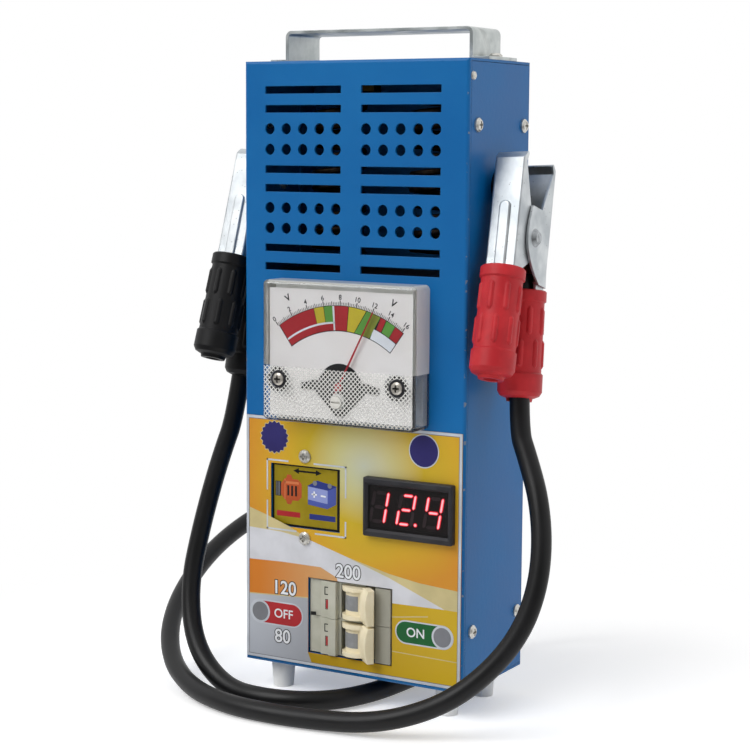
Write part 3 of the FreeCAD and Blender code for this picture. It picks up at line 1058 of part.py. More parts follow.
ARC_SHARE = 0.45


def lead_tube(name, route, radius):
    """A round lead through hand-chosen points, with every corner turned into an arc."""
    spots = [Vector(*point) for point in route]
    edges, last, radii = [], spots[0], []
    for before, corner, after in zip(spots, spots[1:], spots[2:]):
        back_way, on_way = (before - corner), (after - corner)
        reach = ARC_SHARE * min(back_way.Length, on_way.Length)
        back_way.normalize()
        on_way.normalize()
        half_turn = (math.pi - back_way.getAngle(on_way)) / 2
        bend = reach / math.tan(half_turn)
        inward = (back_way + on_way).normalize()
        start, stop = corner + back_way * reach, corner + on_way * reach
        middle = corner + inward * (bend / math.cos(half_turn) - bend)
        edges += [Part.LineSegment(last, start).toShape(), Part.Arc(start, middle, stop).toShape()]
        last = stop
        radii.append(bend)
    edges.append(Part.LineSegment(last, spots[-1]).toShape())
    path = Part.Wire(edges)
    ring = Part.Wire(Part.Circle(spots[0], spots[1] - spots[0], radius).toShape())
    tube = path.makePipeShell([ring], True, False)
    print("%s: length %.1f mm, bend radii %s" % (name, path.Length, " ".join("%.0f" % r for r in radii)))
    print("%s: volume over section times length %.4f" % (name,
                                                         tube.Volume / (math.pi * radius ** 2 * path.Length)))
    return tube


node(free_form("red_lead", lead_tube("red lead", RED_ROUTE, at("lead_radius"))))
node(free_form("black_lead", lead_tube("black lead", BLACK_ROUTE, at("lead_radius"))))

doc.recompute()
os.makedirs("parts", exist_ok=True)
faults = [item.Name for item in doc.Objects if {"Invalid", "Error"} & set(item.State)]
for item in NODES:
    if item.Shape.isNull() or not item.Shape.isValid() or item.Shape.Volume <= 0:
        faults.append(item.Label)
if faults:
    raise RuntimeError("pieces that did not build: " + ", ".join(faults))
for item in NODES:
    item.Shape.exportStep("parts/%s.step" % item.Label)
print("pieces written:", len(NODES))
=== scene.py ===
# %% [markdown]
# # A battery load tester
# The real thing is a folded steel case with a moving-coil meter, a digital voltmeter, two breakers that
# switch load coils, and two spring clamps on rubber leads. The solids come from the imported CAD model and
# are used as they are. This lesson gives them finishes, lays the leads as smooth curves, and adds the print.

# %% Load the frame
import math

import bmesh
import bpy
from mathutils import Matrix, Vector


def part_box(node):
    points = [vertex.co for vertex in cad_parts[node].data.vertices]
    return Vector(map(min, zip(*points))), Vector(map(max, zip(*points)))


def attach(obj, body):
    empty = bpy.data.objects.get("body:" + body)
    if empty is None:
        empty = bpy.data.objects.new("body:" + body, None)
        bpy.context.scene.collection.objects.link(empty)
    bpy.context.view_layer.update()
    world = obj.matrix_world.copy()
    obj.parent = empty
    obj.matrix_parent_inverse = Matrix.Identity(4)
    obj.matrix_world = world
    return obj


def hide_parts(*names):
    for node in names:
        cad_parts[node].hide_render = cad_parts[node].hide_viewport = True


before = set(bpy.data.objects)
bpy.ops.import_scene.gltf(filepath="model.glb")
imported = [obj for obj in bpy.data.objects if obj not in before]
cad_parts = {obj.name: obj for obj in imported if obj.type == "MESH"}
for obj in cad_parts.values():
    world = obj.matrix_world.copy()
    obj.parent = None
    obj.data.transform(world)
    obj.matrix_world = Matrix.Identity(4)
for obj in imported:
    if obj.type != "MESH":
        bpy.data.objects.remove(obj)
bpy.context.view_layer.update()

# %% [markdown]
# ## Camera
# The photo looks down a little at the front and the right side, from about a metre away. A long lens keeps
# the case edges nearly parallel. Yaw, pitch and roll were fitted to the case edges, so the camera is
# written as a position and three angles instead of being dragged by hand.

# %% Camera at the photo's viewing angle
MM = 0.001
LENS, YAW, PITCH, ROLL = 90.46, 30.33, 7.06, 0.35
CAMERA_PLACE = Vector((450.5, -781.0, 266.8)) * MM


def add_to_scene(name, data):
    """Put a new object into the scene."""
    item = bpy.data.objects.new(name, data)
    bpy.context.scene.collection.objects.link(item)
    return item


def camera_axes(yaw, pitch, roll):
    """Right, up and backward directions of a camera that looks along +Y before it turns."""
    a, b, c = (math.radians(v) for v in (yaw, pitch, roll))
    forward = Vector((-math.sin(a) * math.cos(b), math.cos(a) * math.cos(b), -math.sin(b)))
    level = Vector((math.cos(a), math.sin(a), 0))
    above = level.cross(forward)
    return level * math.cos(c) + above * math.sin(c), above * math.cos(c) - level * math.sin(c), -forward


lens = bpy.data.cameras.new("photo_lens")
lens.lens = LENS
lens.sensor_width = 36
camera = add_to_scene("photo_camera", lens)
axes = camera_axes(YAW, PITCH, ROLL)
turn = camera.matrix_world.to_3x3()
for column, axis in enumerate(axes):
    for row in range(3):
        turn[row][column] = axis[row]
camera.matrix_world = turn.to_4x4()
camera.location = CAMERA_PLACE
bpy.context.scene.camera = camera
bpy.context.scene.view_settings.view_transform = "Standard"
print("camera at", [round(v, 3) for v in camera.location])

# %% [markdown]
# ## Tools for finishes
# A finish is a small network of shader nodes. One function adds any node with its settings and links, and
# one turns the hex colours a painter would note down into the linear values that the renderer adds up.
# Patterns read object coordinates, which here are real metres, so a grain of 2 mm is 500 per metre. Under
# light from all round a surface shows little glare, so the mirror share of every paint and plastic is low.

# %% Colour and node helpers
GLARE = 0.28


def linear(code):
    """An sRGB hex colour as linear red, green, blue and alpha."""
    parts = [int(code[i:i + 2], 16) / 255 for i in (1, 3, 5)]
    return tuple(v / 12.92 if v <= 0.04045 else ((v + 0.055) / 1.055) ** 2.4 for v in parts) + (1.0,)


def add(tree, kind, inputs=None, **settings):
    """Add one shader node; inputs are values or the output sockets to link."""
    item = tree.nodes.new("ShaderNode" + kind)
    for key, value in settings.items():
        setattr(item, key, value)
    for key, value in (inputs or {}).items():
        if isinstance(value, bpy.types.NodeSocket):
            tree.links.new(value, item.inputs[key])
        else:
            item.inputs[key].default_value = value
    return item


def new_finish(name, **sockets):
    """A material with its Principled shader; sockets are set by name with _ for a space."""
    material = bpy.data.materials.new(name)
    material.use_nodes = True
    shader = material.node_tree.nodes["Principled BSDF"]
    shader.inputs["Specular IOR Level"].default_value = GLARE
    for key, value in sockets.items():
        shader.inputs[key.replace("_", " ")].default_value = value
    return material, material.node_tree, shader


def per_mm(size):
    """The texture scale whose features are about this many millimetres across."""
    return 1 / (size * MM)


def overlay(tree, shader, share, code):
    """Lay a second colour over a finish where the share is high."""
    under = shader.inputs["Base Color"].links[0].from_socket
    mixed = add(tree, "MixRGB", {"Fac": share, "Color1": under, "Color2": linear(code)})
    tree.links.new(mixed.outputs["Color"], shader.inputs["Base Color"])


def dress(material, *nodes):
    """Give CAD nodes one finish."""
    for name in nodes:
        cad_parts[name].data.materials.clear()
        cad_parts[name].data.materials.append(material)

# %% [markdown]
# ## Mottled finish
# Most finishes here share one idea: a base colour that drifts between two close shades, a roughness that
# drifts with it, and a fine bump for the grain of the paint, moulding or casting. One function lays that
# network down from real sizes, and each material then adds what only it has.

# %% Mottling shared by the finishes


def mottle(name, shades, patch_mm, gloss, grain_mm, grain_depth_mm, edge_mm=0.0, **sockets):
    """A finish whose colour and roughness drift over patches, with a grain and softened edges."""
    material, tree, shader = new_finish(name, **sockets)
    where = add(tree, "TexCoord").outputs["Object"]
    patch = add(tree, "TexNoise", {"Vector": where, "Scale": per_mm(patch_mm), "Detail": 4.0})
    tone = add(tree, "ValToRGB", {"Fac": patch.outputs["Fac"]})
    for stop, (place, code) in zip(tone.color_ramp.elements, zip((0.38, 0.64), shades)):
        stop.position = place
        stop.color = linear(code)
    rough = add(tree, "MapRange", {"Value": patch.outputs["Fac"], "From Min": 0.3, "From Max": 0.7,
                                   "To Min": gloss[0], "To Max": gloss[1]})
    grain = add(tree, "TexNoise", {"Vector": where, "Scale": per_mm(grain_mm), "Detail": 2.0})
    bump = add(tree, "Bump", {"Height": grain.outputs["Fac"], "Distance": grain_depth_mm * MM,
                              "Strength": 1.0})
    if edge_mm:
        edge = add(tree, "Bevel", {"Radius": edge_mm * MM}, samples=4)
        tree.links.new(edge.outputs["Normal"], bump.inputs["Normal"])
    tree.links.new(tone.outputs["Color"], shader.inputs["Base Color"])
    tree.links.new(rough.outputs["Result"], shader.inputs["Roughness"])
    tree.links.new(bump.outputs["Normal"], shader.inputs["Normal"])
    return material, tree, shader, where

# %% [markdown]
# ## Powder-coated steel
# The case is sheet steel under blue powder coat: semi-gloss, with the shallow orange peel that the powder
# leaves as it melts. Along the folded front edges the coat is knocked off in small chips, so a mask near
# the two edges lets a grey primer through where a coarse noise is high.

# %% Blue case
# A deep even blue with a soft, faintly rippled sheen.
blue_coat, tree, shader, where = mottle("powder_coated_steel", ("#0061a3", "#0268a9"), 60, (0.36, 0.46),
                                        2.6, 0.05, edge_mm=0.5)
axis_parts = add(tree, "SeparateXYZ", {"Vector": where})
across = add(tree, "Math", {0: axis_parts.outputs["X"]}, operation="ABSOLUTE")
case_low, case_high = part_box("front_chassis")
near_edge = add(tree, "MapRange", {"Value": across.outputs[0], "From Min": case_high.x - 1.1 * MM,
                                   "From Max": case_high.x - 0.2 * MM})
near_front = add(tree, "MapRange", {"Value": axis_parts.outputs["Y"], "From Min": case_low.y + 1.6 * MM,
                                    "From Max": case_low.y + 0.6 * MM})
chips = add(tree, "TexNoise", {"Vector": where, "Scale": per_mm(3.5), "Detail": 3.0})
chip_cut = add(tree, "MapRange", {"Value": chips.outputs["Fac"], "From Min": 0.62, "From Max": 0.66})
edge_mask = add(tree, "Math", {0: near_edge.outputs["Result"], 1: near_front.outputs["Result"]},
                operation="MULTIPLY")
chip_mask = add(tree, "Math", {0: edge_mask.outputs[0], 1: chip_cut.outputs["Result"]},
                operation="MULTIPLY")
overlay(tree, shader, chip_mask.outputs[0], "#8d8f8c")
dress(blue_coat, "front_chassis", "back_panel", "left_side_panel", "right_side_panel")
print("blue coat on four panels")

# %% [markdown]
# ## Plated metal
# The strap handle is zinc plated and dulled by hands, the screws are bright zinc, and the clamps are pressed
# from nickel-plated sheet that still shows mill waviness. All are metals: colour sits in the reflection, so
# metallic is 1, or a little less where grime dulls the plate. The rest is in roughness, stains and the size
# of the surface waves.

# %% Zinc plate
# Pale grey with cloudy, finger-dulled patches.
zinc, tree, shader, where = mottle("zinc_plated_strap", ("#b4bab9", "#d5d9d7"), 9, (0.30, 0.52), 1.2, 0.03,
                                   edge_mm=0.4, Metallic=0.8)
stain = add(tree, "TexNoise", {"Vector": where, "Scale": per_mm(14), "Detail": 6.0, "Distortion": 0.6})
stain_cut = add(tree, "MapRange", {"Value": stain.outputs["Fac"], "From Min": 0.60, "From Max": 0.72,
                                   "To Max": 0.35})
overlay(tree, shader, stain_cut.outputs["Result"], "#6d6f6c")
dress(zinc, "carry_handle", "din_rail")

# Small warm glints that pick out each fastener.
bright_zinc = mottle("bright_zinc_plated_steel", ("#c2c0b9", "#dddbd5"), 1.6, (0.24, 0.36), 0.5, 0.01,
                     Metallic=0.85)[0]
dress(bright_zinc, "seam_rivets", "side_panel_screws", "back_panel_screws", "rail_screws", "handle_screws",
      "foot_screws", "legend_screws", "stud_screws")
print("zinc on the handle, the rail and the screws")

# %% Nickel sheet
# Bright, slightly wavy sheet with a few dark pits.
nickel, tree, shader, where = mottle("nickel_plated_sheet", ("#b4babe", "#dadee0"), 14, (0.36, 0.48), 6,
                                     0.08, edge_mm=0.5, Metallic=0.95)
pits = add(tree, "TexVoronoi", {"Vector": where, "Scale": per_mm(3.4)})
pit_cut = add(tree, "MapRange", {"Value": pits.outputs["Distance"], "From Min": 0.05, "From Max": 0.11,
                                 "To Min": 0.6, "To Max": 0.0})
overlay(tree, shader, pit_cut.outputs["Result"], "#4c4a46")
dress(nickel, "red_front_jaw", "red_rear_jaw", "black_front_jaw", "black_rear_jaw")
print("nickel on four jaws")

# %% Small metal pieces
# A smooth dome that is darker than the sheet around it.
turned_steel = mottle("turned_steel_rivet", ("#8b8f92", "#aeb2b5"), 3, (0.16, 0.26), 0.6, 0.01,
                      Metallic=1.0)[0]
dress(turned_steel, "red_pivot_rivet", "black_pivot_rivet")
# Dull grey wire, with a glint along each coil.
spring_steel = mottle("drawn_spring_steel", ("#6f7072", "#909294"), 3, (0.3, 0.42), 0.6, 0.01,
                      Metallic=1.0)[0]
dress(spring_steel, "red_jaw_spring", "black_jaw_spring")
# Brown-black, nearly lost behind the vents.
oxidised_wire = mottle("oxidised_resistance_wire", ("#3b322b", "#574b41"), 4, (0.4, 0.6), 0.5, 0.02,
                       Metallic=1.0)[0]
dress(oxidised_wire, "load_coil_left", "load_coil_right")
# A dim gold that only shows close to an opening.
tarnished_brass = mottle("tarnished_rolled_brass", ("#6a5630", "#82703f"), 6, (0.25, 0.4), 0.8, 0.01,
                         Metallic=1.0)[0]
dress(tarnished_brass, "meter_terminals", "coil_terminals", "busbars")
# A warm reddish edge inside the clamp.
crimped_copper = mottle("rolled_crimped_copper", ("#97583a", "#b9734f"), 5, (0.28, 0.42), 0.8, 0.02,
                        Metallic=1.0)[0]
dress(crimped_copper, "red_cable_crimp", "black_cable_crimp")
print("rivets, springs, coils, brass and copper dressed")

# %% [markdown]
# ## Rubber and soft PVC
# The grip sleeves are dipped soft PVC, the leads have a smooth rubber sheath and the feet are white silicone
# rubber. These are dielectrics with a satin surface, so they get a middling roughness and a very shallow
# grain. The red ones scatter a little light, which the lighter of the two shades stands for.

# %% Sleeves, feet and reliefs
# Saturated red with broad, soft highlights.
red_pvc = mottle("dipped_red_pvc", ("#b4242b", "#ca2e34"), 12, (0.40, 0.52), 0.9, 0.03, edge_mm=0.5)[0]
dress(red_pvc, "red_front_sleeve", "red_rear_sleeve")
# Near black, so that only the moulded ribs catch light.
black_pvc = mottle("dipped_black_pvc", ("#09090b", "#101012"), 12, (0.42, 0.54), 0.9, 0.03, edge_mm=0.5)[0]
dress(black_pvc, "black_front_sleeve", "black_rear_sleeve", "strain_reliefs", "parking_studs")
# Smooth black with one long highlight down the lead.
sheath = mottle("smooth_rubber_sheath", ("#0d0d0e", "#141416"), 25, (0.36, 0.48), 0.7, 0.02)[0]
dress(sheath, "red_lead", "black_lead")
# Milky white that almost vanishes on a white floor.
white_silicone = mottle("moulded_white_silicone", ("#f1f1ef", "#f8f8f6"), 8, (0.5, 0.6), 0.8, 0.03,
                        edge_mm=0.5)[0]
dress(white_silicone, "rubber_feet")
print("rubber pieces dressed")

# %% [markdown]
# ## Leads
# Each lead leaves a strain relief at the back, lies on the bench and climbs into the rear grip of its clamp.
# A lead bends under its own weight, so it is one NURBS curve that leans on listed points: it stays
# smooth everywhere, where a tube of arcs would look like bent wire. The order is set after the points exist.

# %% Lay the two leads
RED_ROUTE = (
    (73.42, -2.31, 206.91), (76.35, -13.53, 139.9), (85.5, -18.5, 123.0), (94.0, -25.0, 107.0),
    (99.0, -31.5, 88.0), (99.5, -37.5, 69.0), (94.5, -43.5, 50.0), (83.0, -50.0, 33.0), (67.5, -57.0, 19.0),
    (49.5, -65.0, 10.5), (29.0, -70.5, 5.7), (5.0, -74.5, 4.7), (-20.0, -77.0, 4.7), (-45.0, -74.5, 4.7),
    (-71.5, -63.5, 5.5), (-94.5, -47.5, 11.5), (-111.5, -26.0, 22.5), (-121.5, 0.0, 35.0),
    (-124.5, 28.0, 48.5), (-121.5, 57.0, 60.0), (-112.5, 83.0, 68.5), (-94.5, 103.1, 77.0),
    (-69.5, 111.6, 85.5), (-43.8, 107.5, 94.0), (-23.0, 91.9, 103.0), (-12.0, 70.0, 109.5),
    (-12.0, 48.5, 109.5))
BLACK_ROUTE = (
    (-73.42, -2.31, 206.91), (-76.54, -14.28, 135.45), (-83.6, -20.5, 109.5), (-89.0, -28.5, 77.5),
    (-91.0, -37.0, 47.0), (-80.5, -47.0, 20.0), (-57.0, -54.5, 4.7), (-29.0, -58.5, 4.7), (-5.0, -48.5, 4.7),
    (7.0, -25.0, 4.7), (10.5, 7.0, 4.7), (12.0, 39.0, 4.7), (12.0, 71.0, 4.7), (12.0, 95.2, 19.0),
    (12.0, 109.2, 43.2), (12.0, 109.2, 71.2), (12.0, 95.2, 95.5), (12.0, 71.0, 109.5), (12.0, 48.5, 109.5))
LEAD_RADIUS = 4.7
RED_LENGTH, BLACK_LENGTH = 691, 557


def lay_lead(node, route, length):
    """A smooth round lead that stands for the CAD tube on the same route."""
    curve = bpy.data.curves.new(node + "_sheath", "CURVE")
    curve.dimensions = "3D"
    spline = curve.splines.new("NURBS")
    spline.points.add(len(route) - 1)
    for point, spot in zip(spline.points, reversed(route)):
        point.co = [v * MM for v in spot] + [1.0]
    spline.order_u = 3
    spline.use_endpoint_u = True
    spline.resolution_u = 16
    curve.bevel_depth = LEAD_RADIUS * MM
    curve.bevel_resolution = 6
    curve.use_fill_caps = True
    curve.materials.append(sheath)
    lead = add_to_scene(node + "_sheath", curve)
    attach(lead, "case")
    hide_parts(node)
    print(node, "laid through", len(route), "points,", length, "mm")


lay_lead("red_lead", RED_ROUTE, RED_LENGTH)
lay_lead("black_lead", BLACK_ROUTE, BLACK_LENGTH)

# %% [markdown]
# ## Printed plates
# Ink on the label and the dial is flat colour with crisp edges. Painting it with shader maths would be hard
# to read, so each printed shape is a very thin plate of its own, cut from an outline and set just proud
# of the sheet that carries it. All lettering is plain numbers, a V for the unit, and ON and OFF.

# %% Cut thin plates
PLATE_DEPTH = 0.02


def solid_piece(name, work, material, body):
    """Turn an edited mesh into a piece that rides on one body."""
    bmesh.ops.recalc_face_normals(work, faces=work.faces)
    mesh = bpy.data.meshes.new(name)
    work.to_mesh(mesh)
    work.free()
    mesh.materials.append(material)
    piece = add_to_scene(name, mesh)
    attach(piece, body)


def printed_plate(name, outlines, face_y, material):
    """Thin plates with their fronts on one plane; outlines are lists of x and z in millimetres."""
    work = bmesh.new()
    for outline in outlines:
        rings = [[work.verts.new((x * MM, y, z * MM)) for x, z in outline]
                 for y in (face_y, face_y + PLATE_DEPTH * MM)]
        work.faces.new(rings[0])
        work.faces.new(rings[1][::-1])
        for i in range(len(outline)):
            j = (i + 1) % len(outline)
            work.faces.new((rings[0][i], rings[1][i], rings[1][j], rings[0][j]))
    solid_piece(name, work, material, "case")

# %% Outlines for plates


def arc_points(x, z, radius, start, stop, steps):
    """Points on an arc; angles in degrees from straight up, positive to the right."""
    angles = [math.radians(start + (stop - start) * i / steps) for i in range(steps + 1)]
    return [(x + radius * math.sin(a), z + radius * math.cos(a)) for a in angles]


def ring_sector(x, z, inner, outer, start, stop, steps=24):
    """Outline of a piece of a flat ring."""
    return arc_points(x, z, outer, start, stop, steps) + arc_points(x, z, inner, stop, start, steps)


def bar(x0, z0, x1, z1, width):
    """Outline of a straight printed line."""
    along = Vector((x1 - x0, z1 - z0)).normalized()
    side = Vector((-along.y, along.x)) * width / 2
    return [(x0 + side.x, z0 + side.y), (x1 + side.x, z1 + side.y), (x1 - side.x, z1 - side.y),
            (x0 - side.x, z0 - side.y)]


def frame_bars(x0, z0, x1, z1, width):
    """Four bars that outline a rectangle from inside."""
    return [[(x0, z0), (x1, z0), (x1, z0 + width), (x0, z0 + width)],
            [(x0, z1 - width), (x1, z1 - width), (x1, z1), (x0, z1)],
            [(x0, z0 + width), (x0 + width, z0 + width), (x0 + width, z1 - width), (x0, z1 - width)],
            [(x1 - width, z0 + width), (x1, z0 + width), (x1, z1 - width), (x1 - width, z1 - width)]]

# %% Numbers and words


def printed_text(name, words, x, z, size, face_y, material, lean=0.0, weight=0.0):
    """Plain numbers or words facing the front; lean turns them in degrees."""
    text = bpy.data.curves.new(name, "FONT")
    text.body = words
    text.size = size * MM
    text.align_x = "CENTER"
    text.align_y = "CENTER"
    text.extrude = 0.01 * MM
    text.offset = weight * MM
    text.materials.append(material)
    item = add_to_scene(name, text)
    item.rotation_euler = (math.radians(90), math.radians(lean), 0)
    item.location = (x * MM, face_y, z * MM)
    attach(item, "case")

# %% Inks


def ink(name, code, gloss=0.3):
    """Screen-printed ink: an even colour with a faint mesh in its gloss."""
    deep = "#" + "".join("%02x" % int(int(code[i:i + 2], 16) * 0.94) for i in (1, 3, 5))
    return mottle(name, (deep, code), 14, (gloss, gloss + 0.1), 0.8, 0.004)[0]


def fading_ink(name, left, right, start, stop):
    """Ink that runs from one colour to another between two x positions in millimetres."""
    material, tree, shader = new_finish(name, Roughness=0.32)
    where = add(tree, "TexCoord").outputs["Object"]
    across = add(tree, "SeparateXYZ", {"Vector": where})
    share = add(tree, "MapRange", {"Value": across.outputs["X"], "From Min": start * MM,
                                   "From Max": stop * MM})
    blend = add(tree, "MixRGB", {"Fac": share.outputs["Result"], "Color1": linear(left),
                                 "Color2": linear(right)})
    tree.links.new(blend.outputs["Color"], shader.inputs["Base Color"])
    return material


INK_CODES = {
    "black": "#151515", "white": "#eceef2", "red": "#b3262c", "olive": "#8d9436", "purple": "#322d6c",
    "silver": "#c9ced6", "grey": "#7e8086", "pale": "#d6d7dd", "deep_green": "#17602f", "straw": "#cfc08c",
    "lemon": "#d2bd33", "leaf": "#62a142", "battery_blue": "#4c5aa8", "battery_light": "#8f9ad0",
    "battery_lid": "#2c3882", "housing_orange": "#b9532a", "housing_light": "#d4794a",
    "pulley_dark": "#241e1c"}
FADING_CODES = {"yellow": ("#b08c14", "#cba822", -24, 50), "orange": ("#d07a24", "#cf9f6b", -52, -12),
                "lavender": ("#bcc1ca", "#a3a6ad", -59, -26)}
INKS = {colour: ink("screen_printed_%s_ink" % colour, code) for colour, code in INK_CODES.items()}
INKS.update({colour: fading_ink("screen_printed_%s_blend" % colour, *ends)
             for colour, ends in FADING_CODES.items()})
print("inks:", ", ".join(INKS))

# %% Layers of ink
PRINT_STEP = 0.03 * MM


def proud(face_y, count):
    """The front plane of the nth printed layer on a face."""
    return face_y - PRINT_STEP * count


def printer(face_y):
    """A function that lays plates of ink on one face, each in its layer."""
    def lay_ink(name, count, colour, *outlines):
        printed_plate(name, outlines, proud(face_y, count), INKS[colour])
    return lay_ink


print("ink layers", PRINT_STEP, "m apart")

# %% [markdown]
# ## Front label
# The lower front carries a glossy printed film whose ground runs from yellow to orange around a pale middle.
# A radial falloff about a point on the label gives that ground. Bands, outlines, the two marker pills and
# the plain badges are cut plates on top, in a simple layout of their own.

# %% Label ground
# A glossy skin over strong warm colours.
label_film, tree, shader = new_finish("glossy_printed_film", Roughness=0.25, Coat_Weight=0.4,
                                      Coat_Roughness=0.08)
label_low, label_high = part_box("front_label")
LABEL_FACE = label_low.y
where = add(tree, "TexCoord").outputs["Object"]
spot = add(tree, "VectorMath", {0: where, 1: (7 * MM, LABEL_FACE, 116 * MM)}, operation="SUBTRACT")
spread = add(tree, "VectorMath", {0: spot.outputs["Vector"], 1: (1.0, 0.0, 1.15)}, operation="MULTIPLY")
reach = add(tree, "VectorMath", {0: spread.outputs["Vector"]}, operation="LENGTH")
ground = add(tree, "ValToRGB", {"Fac": add(tree, "MapRange", {
    "Value": reach.outputs["Value"], "From Max": 70 * MM}).outputs["Result"]})
ground.color_ramp.elements[0].color = linear("#c2c4b0")
ground.color_ramp.elements[1].color = linear("#d28d2a")
for place, code in ((0.22, "#c8bf86"), (0.46, "#c9a926"), (0.72, "#d3a428")):
    stop = ground.color_ramp.elements.new(place)
    stop.color = linear(code)
fibre = add(tree, "TexNoise", {"Vector": where, "Scale": per_mm(40), "Detail": 2.0})
drift = add(tree, "MixRGB", {"Fac": 0.12, "Color1": ground.outputs["Color"],
                             "Color2": fibre.outputs["Color"]}, blend_type="OVERLAY")
tree.links.new(drift.outputs["Color"], shader.inputs["Base Color"])
dress(label_film, "front_label")
print("label face at y =", round(LABEL_FACE, 5))

# %% Label bands and borders
label_print = printer(LABEL_FACE)
LEFT, RIGHT = label_low.x / MM, label_high.x / MM
LOW, HIGH = label_low.z / MM, label_high.z / MM
WINDOW_LEFT, WINDOW_LOW, WINDOW_RIGHT, WINDOW_HIGH = -23.7, 22.3, 22.9, 59.3
CREST = [(-2.5, 71.8), (21.3, 64.3), (50.7, 53.0)]
SHOULDER = [(-7.0, WINDOW_HIGH), (-7.6, 61.0), (-16.6, 65.0), (-38.8, 65.1)]
label_print("pale_band", 1, "pale",
            [(LEFT, 64.5), (LEFT, 80.5), (-38.8, 79.8), (-23.1, 77.6), *CREST, (WINDOW_RIGHT, 52.6),
             (WINDOW_RIGHT, WINDOW_HIGH), *SHOULDER])
label_print("straw_wedges", 1, "straw",
            [(LEFT, 80.5), (LEFT, 90.7), (-46.1, 86.9), (-33.6, 82.6), (-23.1, 77.6), (-38.8, 79.8)],
            [(21.3, 66.3), (37.3, 63.9), (RIGHT, 62.4), (RIGHT, 52.9), *CREST[::-1]])
label_print("orange_band", 1, "orange",
            [(LEFT, 47.4), (WINDOW_LEFT, 49.2), (WINDOW_LEFT, WINDOW_HIGH), *SHOULDER, (LEFT, 64.5)])
label_print("lavender_corner", 1, "lavender",
            [(LEFT, LOW), (-21.0, LOW), (WINDOW_LEFT, WINDOW_LOW), (WINDOW_LEFT, 49.2), (LEFT, 47.4)])
label_print("yellow_field", 1, "yellow",
            [(-21.0, LOW), (RIGHT, LOW), (RIGHT, 52.9), (50.7, 53.0), (WINDOW_RIGHT, 52.6),
             (WINDOW_RIGHT, WINDOW_LOW), (WINDOW_LEFT, WINDOW_LOW)])
label_print("field_lines", 2, "straw", bar(LEFT, 47.4, WINDOW_LEFT, 49.2, 0.5),
            bar(WINDOW_RIGHT, 46.0, 42.0, 48.6, 0.5), bar(WINDOW_RIGHT, 29.6, RIGHT, 29.0, 0.4))
EDGE = 1.3
label_print("label_border", 4, "silver", *frame_bars(LEFT, LOW, RIGHT, HIGH, EDGE))
label_print("label_hairline", 4, "grey",
            *frame_bars(LEFT + EDGE, LOW + EDGE, RIGHT - EDGE, HIGH - EDGE, 0.3))
print("label spans", round(RIGHT - LEFT, 1), "by", round(HIGH - LOW, 1), "mm")

# %% Round and toothed outlines


def pill(x0, z0, x1, z1, inset=0.0):
    """Outline of a bar with round ends."""
    radius = (z1 - z0) / 2 - inset
    middle = (z0 + z1) / 2
    left, right = x0 + (z1 - z0) / 2, x1 - (z1 - z0) / 2
    return arc_points(right, middle, radius, 0, 180, 16) + arc_points(left, middle, radius, 180, 360, 16)


def disc(x, z, radius, steps=40):
    """Outline of a printed round spot."""
    return arc_points(x, z, radius, 0, 360 - 360 / steps, steps - 1)


def star(x, z, outer, inner, points):
    """Outline of a badge with a toothed rim."""
    spots = []
    for i in range(2 * points):
        spots += arc_points(x, z, outer if i % 2 == 0 else inner, 180 * i / points, 180 * i / points, 1)[:1]
    return spots

# %% Marker pills and numbers
for word, ends, spot, x, colour in (("OFF", (-57.2, 33.1, -26.4, 45.2), -51.1, -37.6, "red"),
                                    ("ON", (24.6, 34.1, 55.6, 45.5), 49.7, 35.6, "deep_green")):
    middle = (ends[1] + ends[3]) / 2
    label_print(word + "_pill_rim", 3, "silver", pill(*ends))
    label_print(word + "_pill", 4, colour, pill(*ends, inset=0.7))
    label_print(word + "_disc_rim", 5, "silver", disc(spot, middle, 5.6))
    label_print(word + "_disc", 6, "grey", disc(spot, middle, 4.6))
    printed_text(word + "_word", word, x, middle, 6.2, proud(LABEL_FACE, 6), INKS["white"], weight=0.08)
NUMBER_SIZE = 9.2
for words, x, z in (("120", -37.2, 52.0), ("80", -38.2, 27.9), ("200", -1.2, 64.2)):
    for part, count, colour, weight in (("outline_", 3, "black", 0.55), ("number_", 4, "white", 0.15)):
        printed_text(part + words, words, x, z, NUMBER_SIZE, proud(LABEL_FACE, count), INKS[colour],
                     weight=weight)
print("pills and numbers printed")

# %% Badges and bracket
label_print("badge_star_rim", 3, "straw", star(-42.9, 125.7, 8.4, 7.4, 18))
label_print("badge_star", 4, "purple", star(-42.9, 125.7, 8.0, 7.0, 18))
label_print("badge_disc_rim", 3, "silver", disc(39.1, 126.0, 7.9))
label_print("badge_disc", 4, "purple", disc(39.1, 126.0, 7.4))
BRACKET = {"left": -47.4, "right": -2.4, "low": 80.5, "high": 115.0}
RULE = 0.8
corner_bars = []
for side, end, reach_x, reach_z in (("left", "high", -34.9, 99.7), ("right", "high", -20.6, 99.8),
                                    ("left", "low", -30.3, 94.7), ("right", "low", -19.9, 88.5)):
    x, z = BRACKET[side], BRACKET[end]
    upright = x + math.copysign(RULE / 2, reach_x - x)
    level = z + math.copysign(RULE / 2, reach_z - z)
    corner_bars += [bar(x, level, reach_x, level, RULE), bar(upright, z, upright, reach_z, RULE)]
label_print("legend_bracket", 3, "silver", *corner_bars)
print("label print done")

# %% [markdown]
# ## Legend window
# A yellow pane behind the panel is lit from behind on the real object. It shows two simple pictures of what
# is tested: a battery and a generator. Both are drawn here as plain cut shapes of a design of their own.

# %% Legend pane
LEGEND_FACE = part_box("legend_window")[0].y
# A dark mustard yellow under a glossy face.
yellow_pane = mottle("back_printed_acrylic", ("#8f7c14", "#9c891b"), 12, (0.14, 0.22), 2.0, 0.005)[0]
dress(yellow_pane, "legend_window")
pane_print = printer(LEGEND_FACE)
print("legend pane at y =", round(LEGEND_FACE, 5))

